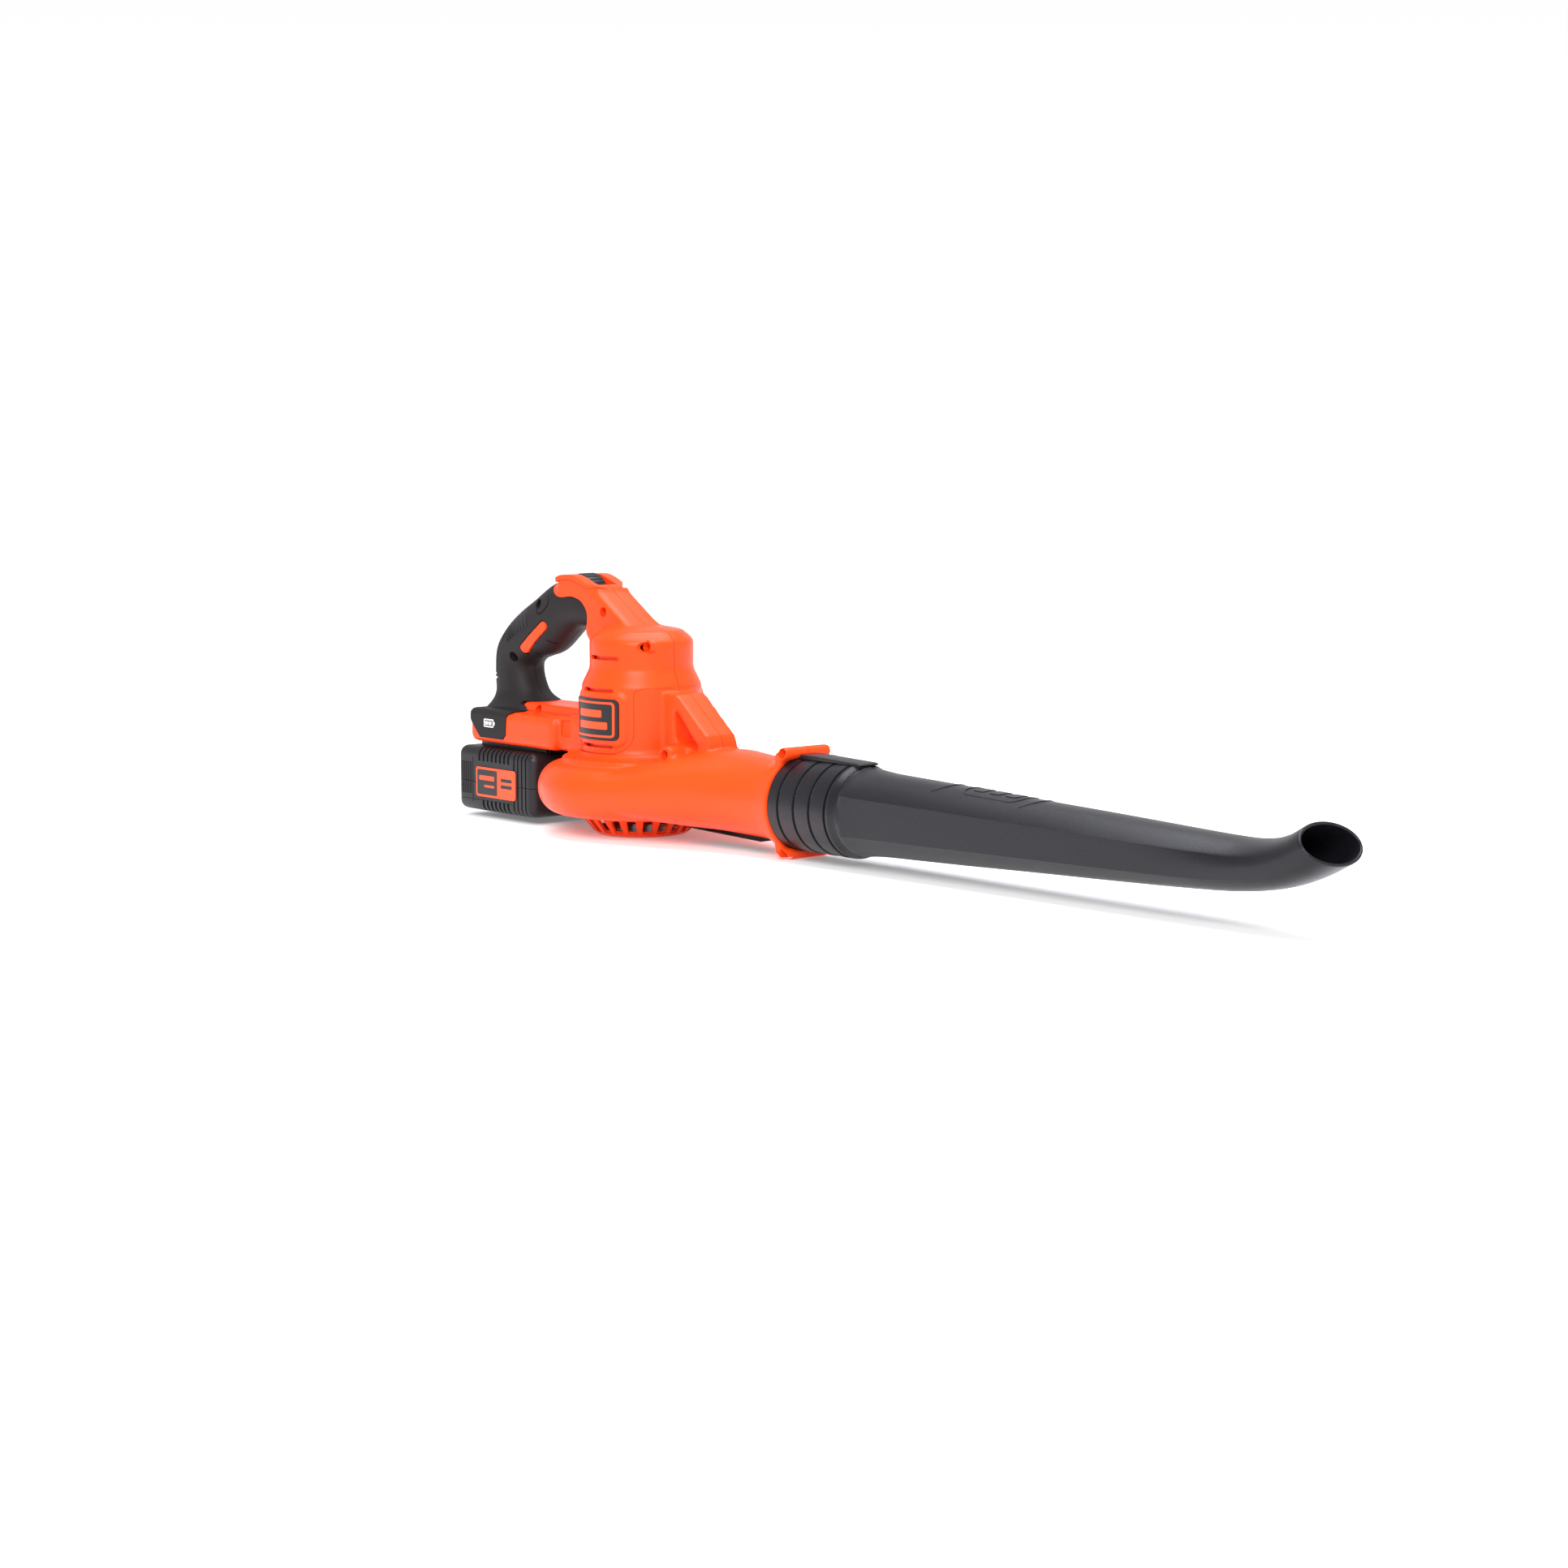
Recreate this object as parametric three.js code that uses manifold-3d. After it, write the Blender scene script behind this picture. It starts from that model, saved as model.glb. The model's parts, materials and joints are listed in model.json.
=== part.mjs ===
// A cordless hand-held leaf blower: two clamshell housing halves around an upright motor and
// impeller, a looped handle with a thumb-wheel speed dial, a slide-on battery pack and a long
// plug-in blower tube. Millimetres, +Z up. The motor axis is the Z axis, the intake grille stands
// on z = 0, the tube runs along +X and the halves meet on the plane y = 0.
import * as THREE from "three";
import { mergeVertices } from "three/addons/utils/BufferGeometryUtils.js";
import { RoundedBoxGeometry } from "three/addons/geometries/RoundedBoxGeometry.js";
import Module from "manifold-3d";

const wasm = await Module();
wasm.setup();

// ---------------------------------------------------------------- driving dimensions
const wall = 2.4; // moulded wall of the clamshell
const fit = 0.3; // clearance between pieces that touch
const split = 0.15; // each half stops this far from the parting plane
const huge = 400; // reach of a cutter that passes right through

// motor housing, an upright stepped cylinder
const housingR = 45;
const capR = 39.1;
const capStepZ = 113; // where the wide cylinder starts to narrow
const capFootZ = 125;
const capShoulderZ = 147;
const housingTopZ = 156.7;

// fan chamber and outlet
const voluteR = 79.4;
const voluteBottomZ = 16;
const voluteTopZ = 54.5;
const nozzleZ = 39.5; // height of the outlet axis
const nozzleEndX = 185;
const nozzleR = 35.5;
const bossX = nozzleEndX + 2.5;
const bossHalfLength = 22;
const bossR = 4.5;

// intake grille, a bowl under the fan chamber
const intakeR = 45;
const intakeFootR = 33;
const grilleSlots = 22;

// blower tube
const spigotR = 26.8;
const spigotLength = 45;
const collarR = nozzleR - 1.5;
const collarLength = 70;
const tubeEndX = 683;
const tubeEndZ = 60.3;
const tubeWall = 2.4;
const latchHalfWidth = 9;
const latchTravel = 1.8; // how far the tip of the tube latch is pressed

// handle, neck and dial
const handleSkin = 3; // thickness of the rubber grip
const neckHalfWidth = 17;
const dialR = 17;
const dialX = -66;
const dialZ = 175.8;
const dialHalfWidth = 8;

// battery dock and pack
const dockRearX = -170;
const dockFrontX = -61;
const dockHalfWidth = 38;
const dockBottomZ = 58.5;
const dockTopZ = 84;
const packRearX = -180.5;
const packFrontX = -81.5;
const packHalfWidth = 42;
const packBottomZ = 5;
const packTopZ = 55;
const packSeamZ = 28;
const packWall = 2.2;
const cellR = 9.1;
const cellLength = 65;
const cellsInRow = 5;

// motor and impeller
const impellerR = 56;
const impellerBottomZ = 23;
const impellerTopZ = 46;
const bladeCount = 12;
const shaftR = 2.5;
const motorR = 24;
const plateBottomZ = 55;
const plateThickness = 3;
const motorLength = 60;

// ---------------------------------------------------------------- shape helpers
// A closed three.js geometry as a solid, its faces turned outwards.
function solid(geometry) {
  const bare = geometry.index ? geometry.toNonIndexed() : geometry;
  const points = new THREE.BufferGeometry();
  points.setAttribute("position", bare.getAttribute("position"));
  const merged = mergeVertices(points, 1e-4);
  const vertProperties = merged.attributes.position.array;
  const triVerts = new Uint32Array(merged.index.array);
  const made = new wasm.Manifold(new wasm.Mesh({ numProp: 3, vertProperties, triVerts }));
  if (made.volume() > 0) return made;
  return new wasm.Manifold(new wasm.Mesh({ numProp: 3, vertProperties, triVerts: triVerts.reverse() }));
}

const join = (...parts) => parts.reduce((a, b) => a.add(b));
const cut = (body, ...tools) => tools.reduce((a, b) => a.subtract(b), body);

function box(x0, x1, y0, y1, z0, z1) {
  const geometry = new THREE.BoxGeometry(x1 - x0, y1 - y0, z1 - z0);
  return solid(geometry.translate((x0 + x1) / 2, (y0 + y1) / 2, (z0 + z1) / 2));
}

function softBox(x0, x1, y0, y1, z0, z1, radius) {
  const geometry = new RoundedBoxGeometry(x1 - x0, y1 - y0, z1 - z0, 1, radius);
  return solid(geometry.translate((x0 + x1) / 2, (y0 + y1) / 2, (z0 + z1) / 2));
}

// A solid of revolution about Z. The outline is [radius, height] pairs.
function lathe(outline, sides = 32) {
  const points = outline.map(([r, z]) => new THREE.Vector2(r, z));
  return solid(new THREE.LatheGeometry(points, sides).rotateX(Math.PI / 2));
}

// A round bar between two points.
function rod(radius, from, to, sides = 16) {
  const a = new THREE.Vector3(...from);
  const b = new THREE.Vector3(...to);
  const along = b.clone().sub(a);
  const geometry = new THREE.CylinderGeometry(radius, radius, along.length(), sides);
  const turn = new THREE.Quaternion().setFromUnitVectors(
    new THREE.Vector3(0, 1, 0),
    along.normalize(),
  );
  const middle = a.add(b).multiplyScalar(0.5);
  return solid(geometry.applyQuaternion(turn).translate(middle.x, middle.y, middle.z));
}

const barY = (radius, x, z, y0, y1, sides = 16) => rod(radius, [x, y0, z], [x, y1, z], sides);

// A side-view outline of [x, z] points given a thickness from y0 to y1, its edges rounded by bevel.
function slab(outline, y0, y1, bevel = 0) {
  const shape = new THREE.Shape(outline.map(([x, z]) => new THREE.Vector2(x, z)));
  const geometry = new THREE.ExtrudeGeometry(shape, {
    depth: y1 - y0 - 2 * bevel,
    bevelEnabled: bevel > 0,
    bevelThickness: bevel,
    bevelSize: bevel,
    bevelOffset: -bevel,
    bevelSegments: 1,
  });
  return solid(geometry.rotateX(Math.PI / 2).translate(0, y1 - bevel, 0));
}

// A skin over rings that follow a path in the plane y = 0. Each ring is a superellipse given by
// its centre x and z, the direction of the path in degrees, its half thickness in the plane, its
// half width across and its squareness (2 is an ellipse). grow makes every ring larger.
function loft(rings, grow = 0, sides = 16) {
  const geometry = new THREE.CylinderGeometry(1, 1, 1, sides, rings.length - 1);
  const position = geometry.getAttribute("position");
  for (let i = 0; i < position.count; i += 1) {
    const level = Math.round((0.5 - position.getY(i)) * (rings.length - 1));
    const [x, z, degrees, thick, wide, square = 2] = rings[level];
    const tilt = THREE.MathUtils.degToRad(degrees);
    const reach = Math.hypot(position.getX(i), position.getZ(i)) > 0.5 ? 1 : 0;
    const angle = Math.atan2(position.getZ(i), position.getX(i));
    const round = (value) => Math.sign(value) * Math.abs(value) ** (2 / square);
    const across = reach * (wide + grow) * round(Math.cos(angle));
    const up = reach * (thick + grow) * round(Math.sin(angle));
    position.setXYZ(i, x - up * Math.sin(tilt), across, z + up * Math.cos(tilt));
  }
  return solid(geometry);
}

// A wire of round section through the given points.
function wire(points, radius, steps) {
  const section = new THREE.Shape();
  for (let i = 0; i < 8; i += 1) {
    const angle = (i * Math.PI) / 4;
    const [x, y] = [radius * Math.cos(angle), radius * Math.sin(angle)];
    if (i === 0) section.moveTo(x, y);
    else section.lineTo(x, y);
  }
  section.closePath();
  const path = new THREE.CatmullRomCurve3(points.map((p) => new THREE.Vector3(...p)));
  return solid(new THREE.ExtrudeGeometry(section, { steps, extrudePath: path, bevelEnabled: false }));
}

// A compression spring: a round wire on a helix along Z.
function spring(x, y, z0, z1, coilR, wireR, turns) {
  const points = [];
  for (let i = 0; i <= turns * 8; i += 1) {
    const angle = (i * Math.PI) / 4;
    const rise = (i / (turns * 8)) * (z1 - z0 - 2 * wireR);
    points.push([x + coilR * Math.cos(angle), y + coilR * Math.sin(angle), z0 + wireR + rise]);
  }
  return wire(points, wireR, turns * 8);
}

const mirrorY = (body) => body.mirror([0, 1, 0]);
const lift = (outline, by) => outline.map(([x, z]) => [x + by, z + by]);

// ---------------------------------------------------------------- materials and nodes
const finish = (color, roughness, metalness = 0) =>
  new THREE.MeshStandardMaterial({ color, roughness, metalness });
const orange = finish(0xf4511e, 0.35);
const black = finish(0x1e1e21, 0.45);
const rubber = finish(0x2b2a2c, 0.75);
const labelBlack = finish(0x17171a, 0.4);
const steel = finish(0xb4b6ba, 0.3, 1);
const darkSteel = finish(0x55575b, 0.4, 1);
const aluminium = finish(0xc9cbce, 0.4, 1);
const copper = finish(0xb8642f, 0.35, 1);
const brass = finish(0xc9a24a, 0.3, 1);
const boardGreen = finish(0x1f5b36, 0.5);
const redWire = finish(0xb3201c, 0.45);
const blackWire = finish(0x141416, 0.5);
const cellWrap = finish(0x2f7f86, 0.4);

const blower = new THREE.Group();

function add(name, body, material) {
  const { numProp, vertProperties, triVerts } = body.getMesh();
  const points = [];
  for (let i = 0; i < vertProperties.length; i += numProp)
    points.push(vertProperties[i], vertProperties[i + 1], vertProperties[i + 2]);
  const geometry = new THREE.BufferGeometry();
  geometry.setAttribute("position", new THREE.Float32BufferAttribute(points, 3));
  geometry.setIndex(Array.from(triVerts));
  geometry.computeVertexNormals();
  const mesh = new THREE.Mesh(geometry, material);
  mesh.name = name;
  blower.add(mesh);
}

// ---------------------------------------------------------------- handle
// Rings from the dock up the rear post, round the bend and along the slope to the neck.
const handleRings = [
  [dockRearX + 24, dockTopZ - 14, 96, 31, 21, 2.6],
  [dockRearX + 26, dockTopZ - 1, 95, 29, 20, 2.6],
  [dockRearX + 21, dockTopZ + 12, 92, 23.5, 17.5, 2.5],
  [dockRearX + 17, dockTopZ + 27, 84, 20.5, 17, 2.4],
  [dockRearX + 18, dockTopZ + 41, 66, 19.5, 17.5, 2.4],
  [dockRearX + 28, dockTopZ + 51.5, 46, 19.2, 18.5, 2.4],
  [dockRearX + 42, dockTopZ + 59.5, 32, 21, 19, 2.3],
  [dockRearX + 59, dockTopZ + 67, 28, 22.7, 19, 2.3],
  [dockRearX + 84.5, dockTopZ + 82.8, 30, 20.7, 18.5, 2.3],
  [dockRearX + 110, dockTopZ + 87, 24, 21, 17.5, 2.3],
  [dockRearX + 128, dockTopZ + 87, 10, 17, 15, 2.3],
];
const handleOuter = loft(handleRings);
const handleCore = loft(handleRings, -handleSkin);
const handleCoreSocket = loft(handleRings, fit + 0.15 - handleSkin);
const handleChannel = loft(handleRings, -handleSkin - wall);

// The side-view region that the rubber covers, up to its curved border with the neck.
const gripBorder = [
  [-93, 190],
  [-91, 181],
  [-85, 176],
  [-78, 174.2],
  [-66, 175.4],
  [-52, 171.8],
  [-46, 165.5],
  [-45, 158],
  [-47, 145],
];
const gripZone = (by) =>
  slab(
    [
      [-huge, dockTopZ - 30],
      [-huge, 250],
      [-97, 250],
      ...lift(gripBorder, by),
      [-50, 100],
      [-60, dockTopZ - 30],
    ],
    -60,
    60,
  );

// The rubber carries on over the rear of the dock as a bumper on each side.
const bumperOutline = [
  [dockRearX - 1, dockTopZ + 1.5],
  [dockRearX + 48, dockTopZ + 1.5],
  [dockRearX + 46, dockTopZ - 20],
  [dockRearX + 13, dockTopZ - 20],
];
const bumperSkin = 2.4;
const growOutline = (outline, by) => {
  const cx = outline.reduce((sum, [x]) => sum + x, 0) / outline.length;
  const cz = outline.reduce((sum, [, z]) => sum + z, 0) / outline.length;
  return outline.map(([x, z]) => [x + Math.sign(x - cx) * by, z + Math.sign(z - cz) * by]);
};
const bumperCover = (by) => slab(growOutline(bumperOutline, by), 0, dockHalfWidth + 0.6 + by, by ? 0 : 0.6);
const dockCoreUnderBumper = (by) =>
  box(-huge, huge, -huge, dockHalfWidth - bumperSkin + by, -huge, dockTopZ - bumperSkin + by);

// ---------------------------------------------------------------- housing, outside
const housingBody = lathe([
  [0, nozzleZ],
  [housingR, nozzleZ],
  [housingR, capStepZ],
  [capR, capFootZ],
  [capR, capShoulderZ - 1.5],
  [capR - 2.6, capShoulderZ + 1.5],
  [capR - 8.5, housingTopZ - 2.6],
  [capR - 33, housingTopZ],
  [0, housingTopZ],
]);
const voluteMidZ = (voluteBottomZ + voluteTopZ) / 2;
const voluteFlatR = intakeR + 17.4; // the flat floor reaches past the flange of the grille
function voluteOutline(inset) {
  const half = (voluteTopZ - voluteBottomZ) / 2 - inset;
  const outline = [[0, voluteMidZ - half]];
  for (let i = 0; i <= 5; i += 1) {
    const angle = -Math.PI / 2 + (i * Math.PI) / 5;
    outline.push([
      voluteFlatR - inset + (voluteR - voluteFlatR) * Math.cos(angle),
      voluteMidZ + half * Math.sin(angle),
    ]);
  }
  return outline;
}
const voluteBody = lathe([...voluteOutline(0), [housingR + 2, voluteTopZ + 4], [0, voluteTopZ + 4]], 36);

// Rings of the outlet: x, z, direction, half height, half width, squareness.
const outletRing = (x, bottom, top, wide, square) => [
  x,
  (top + bottom) / 2,
  0,
  (top - bottom) / 2,
  wide,
  square,
];
const outletRings = [
  outletRing(8, voluteBottomZ + 1, voluteTopZ - 1, voluteR - 3, 3),
  outletRing(50, voluteBottomZ - 1.5, 60, voluteR * 0.84, 2.6),
  outletRing(86, nozzleZ - 26.7, 69, 54, 2.3),
  outletRing(112, nozzleZ - 27.3, nozzleZ + 32.5, 44, 2.1),
  outletRing(140, nozzleZ - 28.4, nozzleZ + 31.2, 36.5, 2),
  outletRing(nozzleEndX - 20, nozzleZ - 29.4, nozzleZ + 31, 33.5, 2),
  outletRing(nozzleEndX - 7, nozzleZ - nozzleR + 1, nozzleZ + nozzleR - 1, nozzleR - 1, 2),
  outletRing(nozzleEndX, nozzleZ - nozzleR, nozzleZ + nozzleR, nozzleR, 2),
];
const outletBody = loft(outletRings, 0, 24);
const airway = loft(
  outletRings.filter(([x]) => x <= nozzleEndX - spigotLength),
  -wall,
  24,
);
const spigotBore = rod(
  spigotR + fit,
  [nozzleEndX - spigotLength - 2, 0, nozzleZ],
  [nozzleEndX + 5, 0, nozzleZ],
  24,
);
const collarRoom = rod(collarR + fit, [nozzleEndX, 0, nozzleZ], [nozzleEndX + 20, 0, nozzleZ], 32);
const bossTopZ = nozzleZ + nozzleR + 1.2;
const bossLowZ = nozzleZ - nozzleR + 0.2;
const bossTop = join(
  barY(bossR, bossX, bossTopZ, -bossHalfLength, bossHalfLength),
  box(bossX - bossR, nozzleEndX, -bossHalfLength, bossHalfLength, bossTopZ - 12, bossTopZ),
);
const bossLow = join(
  barY(bossR - 0.4, bossX, bossLowZ, -bossHalfLength, bossHalfLength),
  box(bossX - bossR, nozzleEndX, -bossHalfLength, bossHalfLength, bossLowZ, bossLowZ + 12),
);

// The brace from the motor housing down to the outlet, with its three-sided window.
const strutHalfWidth = 14;
const strutBody = slab(
  [
    [30, capStepZ - 4],
    [57, capStepZ - 4],
    [61, capStepZ - 6],
    [84.5, 87.5],
    [93, 81],
    [96, 75],
    [96, 60],
    [30, 60],
  ],
  -strutHalfWidth,
  strutHalfWidth,
  2,
);
const strutWindow = slab([[56, 96], [57, 76], [59, 74], [82, 69], [84, 71], [59, 96.5]], -40, 40);

// Neck and saddle: from the dome of the housing up to the dial.
const neckBody = slab(
  [
    [9, housingTopZ - 6],
    [5.8, housingTopZ - 0.2],
    [-2, housingTopZ + 3.4],
    [dialX + 31.6, housingTopZ + 24],
    [dialX + 31.2, dialZ + 7.7],
    [dialX + 26.5, dialZ + 9],
    [dialX + 20, dialZ + 10.6],
    [dialX + 13, dialZ + 13.4],
    [dialX + 5, dialZ + 15.7],
    [dialX - 3, dialZ + 16.2],
    [dialX - 12, dialZ + 15.4],
    [dialX - 17.5, dialZ + 13.4],
    [dialX - 18.5, dialZ + 9],
    [dialX - 18, dialZ - 3],
    [-70, dialZ - 16.5],
    [-56, dialZ - 23.5],
    [-48, dialZ - 29],
    [-43, dialZ - 36],
    [-30, capFootZ + 8],
  ],
  -neckHalfWidth,
  neckHalfWidth,
  4,
);

// Battery dock: the wide shoe, the raised middle and the link to the motor housing.
const raisedRearX = dockRearX + 44.3;
const raisedHalfWidth = 20;
const raisedTopZ = dockTopZ + 7;
const linkHalfWidth = 31;
const dockShoe = softBox(dockRearX, dockFrontX, -dockHalfWidth, dockHalfWidth, dockBottomZ, dockTopZ, 5);
const raised = (grow, frontX) =>
  softBox(
    raisedRearX - grow,
    frontX,
    -raisedHalfWidth - grow,
    raisedHalfWidth + grow,
    dockTopZ - 8,
    raisedTopZ + grow,
    4,
  );
const dockRaised = raised(0, -36);
const dockLink = softBox(
  dockFrontX - 5,
  -32,
  -linkHalfWidth,
  linkHalfWidth,
  dockBottomZ,
  dockTopZ + 2,
  4,
);

// ---------------------------------------------------------------- housing, inside
const chamber = lathe(
  [
    ...voluteOutline(wall),
    [housingR - 5, voluteTopZ - wall],
    [housingR - 5, plateBottomZ],
    [housingR - wall, plateBottomZ],
    [housingR - wall, capStepZ - 0.7],
    [capR - wall, capFootZ - 0.7],
    [capR - wall, capShoulderZ - 3],
    [capR - 9, housingTopZ - 6],
    [0, housingTopZ - 4],
  ],
  32,
);
const intakeHole = rod(intakeR + fit, [0, 0, voluteBottomZ - 6], [0, 0, voluteBottomZ + wall + 1], 32);
const neckChannel = loft(
  [
    [12, housingTopZ - 12, 160, 6, 11],
    [-20, housingTopZ + 1, 155, 8, 12],
    [dialX + 16, dialZ - 6, 160, 7, 12],
    [dialX - 16, dialZ - 6, 190, 7, 12],
  ],
  0,
  16,
);
const dialPocket = join(
  barY(dialR + 1.3, dialX, dialZ, -dialHalfWidth - 0.8, dialHalfWidth + 0.8, 24),
  box(dialX - 4, dialX + dialR + 8.5, -dialHalfWidth - 0.8, dialHalfWidth + 0.8, dialZ + 5, dialZ + 40),
);
const switchOuterY = neckHalfWidth - handleSkin - 1.2;
const switchPocket = box(dialX - 8, dialX + 8, 0, switchOuterY + fit, dialZ - 8, dialZ + 6);
const dialAxleR = 2;
const dialAxleEnd = -neckHalfWidth + wall + 1;
const axleHole = barY(dialAxleR + fit, dialX, dialZ, dialAxleEnd - fit, 0, 12);

const railSlotHalf = 31; // inside of the slot that the pack's rails run in
const railGapHalf = 26.8; // gap between the two lips under the rails
const railLipTopZ = dockBottomZ + 2.7;
const railSlotTopZ = dockBottomZ + 8.7;
const slotFrontX = packFrontX - 2.5;
const railSlot = join(
  box(dockRearX - 2, slotFrontX, -railSlotHalf, railSlotHalf, railLipTopZ, railSlotTopZ),
  box(dockRearX - 2, slotFrontX, -railGapHalf, railGapHalf, dockBottomZ - 2, railSlotTopZ),
);
const terminalWindow = box(slotFrontX - 2, dockFrontX - 4, -20, 20, dockBottomZ + 3, railSlotTopZ - 0.2);
const dockCavity = join(
  box(
    dockRearX + 8,
    dockFrontX - wall,
    -dockHalfWidth + 5,
    dockHalfWidth - 5,
    railSlotTopZ + 2,
    dockTopZ - 5,
  ),
  box(
    dockRearX + 48,
    -36,
    -raisedHalfWidth + wall,
    raisedHalfWidth - wall,
    railSlotTopZ + 6,
    raisedTopZ - wall,
  ),
  box(dockFrontX - 6, -34, -linkHalfWidth + 4, linkHalfWidth - 4, dockBottomZ + wall + 0.6, dockTopZ - 2),
);
const vents = [134, 110.5, 69].map((z) => box(-16, 16, -60, 60, z - 1.5, z + 1.5));
const ventCore = box(-16, 16, -capR + wall + 2, capR - wall - 2, 60, 140);

// Screws run along Y from the right half into the left: x, z and the depth of the head.
const screws = [
  ["neck", -25, housingTopZ + 9, 9],
  ["shoulder", 32, capShoulderZ - 4, 12],
  ["strut", 66, 66, 26],
  ["dock", dockRearX + 67, dockTopZ + 2.2, 14],
  ["grip_upper", dockRearX + 63.5, dockTopZ + 86.5 - 3, 8],
  ["grip_lower", dockRearX + 30, dockTopZ + 41, 10],
  ["boss_top", bossX, bossTopZ + 0.4, bossHalfLength - 8],
  ["boss_low", bossX, bossLowZ - 0.4, bossHalfLength - 8],
];
const screwHeadR = 3;
const screwHeadHeight = 2.2;
const screwR = 1.4;
const screwTip = 12;
const postR = 5.2;
const inGrip = (name) => name.startsWith("grip");
const isBoss = (name) => name.startsWith("boss");
const posts = screws
  .filter(([name]) => !isBoss(name))
  .map(([name, x, z, depth]) =>
    name === "strut"
      ? barY(postR, x, z, -depth - 6, depth + 6, 12)
      : barY(postR, x, z, -depth, 14, 12),
  );
const screwHole = ([, x, z, depth], grow) =>
  join(
    barY(screwHeadR + grow, x, z, -huge, -depth + screwHeadHeight + grow, 12),
    barY(screwR + grow, x, z, -depth, screwTip + grow, 8),
  );

// Raised pads that carry the badges.
const badgeHalfWidth = 24;
const badgeLowZ = 73.6;
const badgeTopZ = 104.5;
const badgeSkin = 1.2;
function rounded(x0, x1, z0, z1, radius) {
  const outline = [];
  [[x1, z1], [x0, z1], [x0, z0], [x1, z0]].forEach(([x, z], corner) => {
    for (let i = 0; i <= 3; i += 1) {
      const angle = ((corner + i / 3) * Math.PI) / 2;
      const inX = x === x1 ? x1 - radius : x0 + radius;
      const inZ = z === z1 ? z1 - radius : z0 + radius;
      outline.push([inX + radius * Math.cos(angle), inZ + radius * Math.sin(angle)]);
    }
  });
  return outline;
}
const ring = (inner, outer, z0, z1) =>
  lathe([[inner, z0], [outer, z0], [outer, z1], [inner, z1], [inner, z0]], 40);
const badgePad = ring(housingR - 1, housingR + 1.6, 68, 110).intersect(
  slab(rounded(-badgeHalfWidth - 3, badgeHalfWidth + 3, badgeLowZ - 3, badgeTopZ + 3, 6), -huge, huge),
);
const badgeSeat = housingR + 1.6 + fit;
const badgeRing = ring(badgeSeat, badgeSeat + badgeSkin, badgeLowZ - 5, badgeTopZ + 5);
const badge = (y0, y1) =>
  badgeRing.intersect(slab(rounded(-badgeHalfWidth, badgeHalfWidth, badgeLowZ, badgeTopZ, 4), y0, y1));

// ---------------------------------------------------------------- housing halves and grips
const skinBody = cut(
  join(
    housingBody,
    voluteBody,
    outletBody,
    cut(strutBody, strutWindow),
    dockShoe,
    dockRaised,
    dockLink,
    badgePad,
  ),
  chamber,
);
const topBody = cut(join(handleOuter, neckBody), cut(gripZone(0.35), handleCore), chamber);
const bumperSeat = cut(bumperCover(fit), dockCoreUnderBumper(-0.15));
const bumperSeats = join(bumperSeat, mirrorY(bumperSeat));
let housing = join(skinBody, topBody, bossTop, bossLow);
housing = cut(housing, airway, neckChannel, handleChannel, dockCavity);
housing = join(housing, ...posts.map((post) => cut(post, cut(gripZone(0.35), handleCore))));
housing = cut(
  housing,
  spigotBore,
  intakeHole,
  dialPocket,
  switchPocket,
  axleHole,
  collarRoom,
  railSlot,
  terminalWindow,
  cut(bumperSeats, handleCore),
  ...vents.map((vent) => cut(vent, ventCore)),
  ...screws.map((screw) => screwHole(screw, fit)),
);
const leftSide = box(-huge, huge * 2, split, huge, -huge, huge);
const rightSide = mirrorY(leftSide);
const largest = (body) =>
  body.decompose().reduce((a, b) => (b.volume() > a.volume() ? b : a));
add("housing_left", largest(housing.intersect(leftSide)), orange);
add("housing_right", largest(housing.intersect(rightSide)), orange);

const gripHandle = cut(handleOuter.intersect(gripZone(0)), handleCoreSocket);
const gripAboveDock = cut(gripHandle, box(-huge, huge, -huge, huge, -huge, dockTopZ - bumperSkin + fit));
const bumper = cut(bumperCover(0), dockCoreUnderBumper(fit), handleCoreSocket);
const gripHoles = screws.filter(([name]) => inGrip(name)).map((screw) => screwHole(screw, fit + 0.4));
const raisedSocket = raised(fit, -30);
const postSockets = screws
  .filter(([name]) => inGrip(name))
  .map(([, x, z, depth]) => barY(postR + fit, x, z, -depth - fit, 14 + fit));
const gripWhole = (side) =>
  largest(
    cut(
      join(gripAboveDock, side > 0 ? bumper : mirrorY(bumper)).intersect(side > 0 ? leftSide : rightSide),
      raisedSocket,
      dialPocket,
      ...gripHoles,
      ...postSockets,
    ),
  );
add("grip_left", gripWhole(1), rubber);
add("grip_right", gripWhole(-1), rubber);

add("badge_left", badge(0, huge), labelBlack);
add("badge_right", badge(-huge, 0), labelBlack);
const labelGeometry = new THREE.BoxGeometry(84, 26, 0.6).rotateY(0.028);
labelGeometry.translate(112, 0, nozzleZ - 28.6 - fit);
add("nozzle_label", solid(labelGeometry), labelBlack);

// ---------------------------------------------------------------- intake grille
const grilleTopZ = voluteBottomZ + wall + fit;
const grilleBowl = lathe([
  [0, 0],
  [intakeFootR, 0],
  [intakeFootR + 2.5, 1.2],
  [intakeR, 13],
  [intakeR, grilleTopZ],
  [intakeR + 3, grilleTopZ],
  [intakeR + 3, grilleTopZ + 2],
  [intakeR - wall, grilleTopZ + 2],
  [intakeR - wall, 14],
  [intakeFootR + 0.5, wall],
  [0, wall],
]);
const grilleCuts = [];
for (let i = 0; i < grilleSlots; i += 1) {
  const slot = new THREE.BoxGeometry(22, 7.4, 10.4).translate(intakeR, 0, 7.8);
  grilleCuts.push(solid(slot.rotateZ((i * 2 * Math.PI) / grilleSlots)));
}
for (let i = 0; i < 8; i += 1) {
  const slot = new THREE.BoxGeometry(12, 5, 8).translate(intakeFootR - 11, 0, 0);
  grilleCuts.push(solid(slot.rotateZ((i * Math.PI) / 4)));
}
add("intake_grille", cut(grilleBowl, ...grilleCuts), orange);

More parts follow.
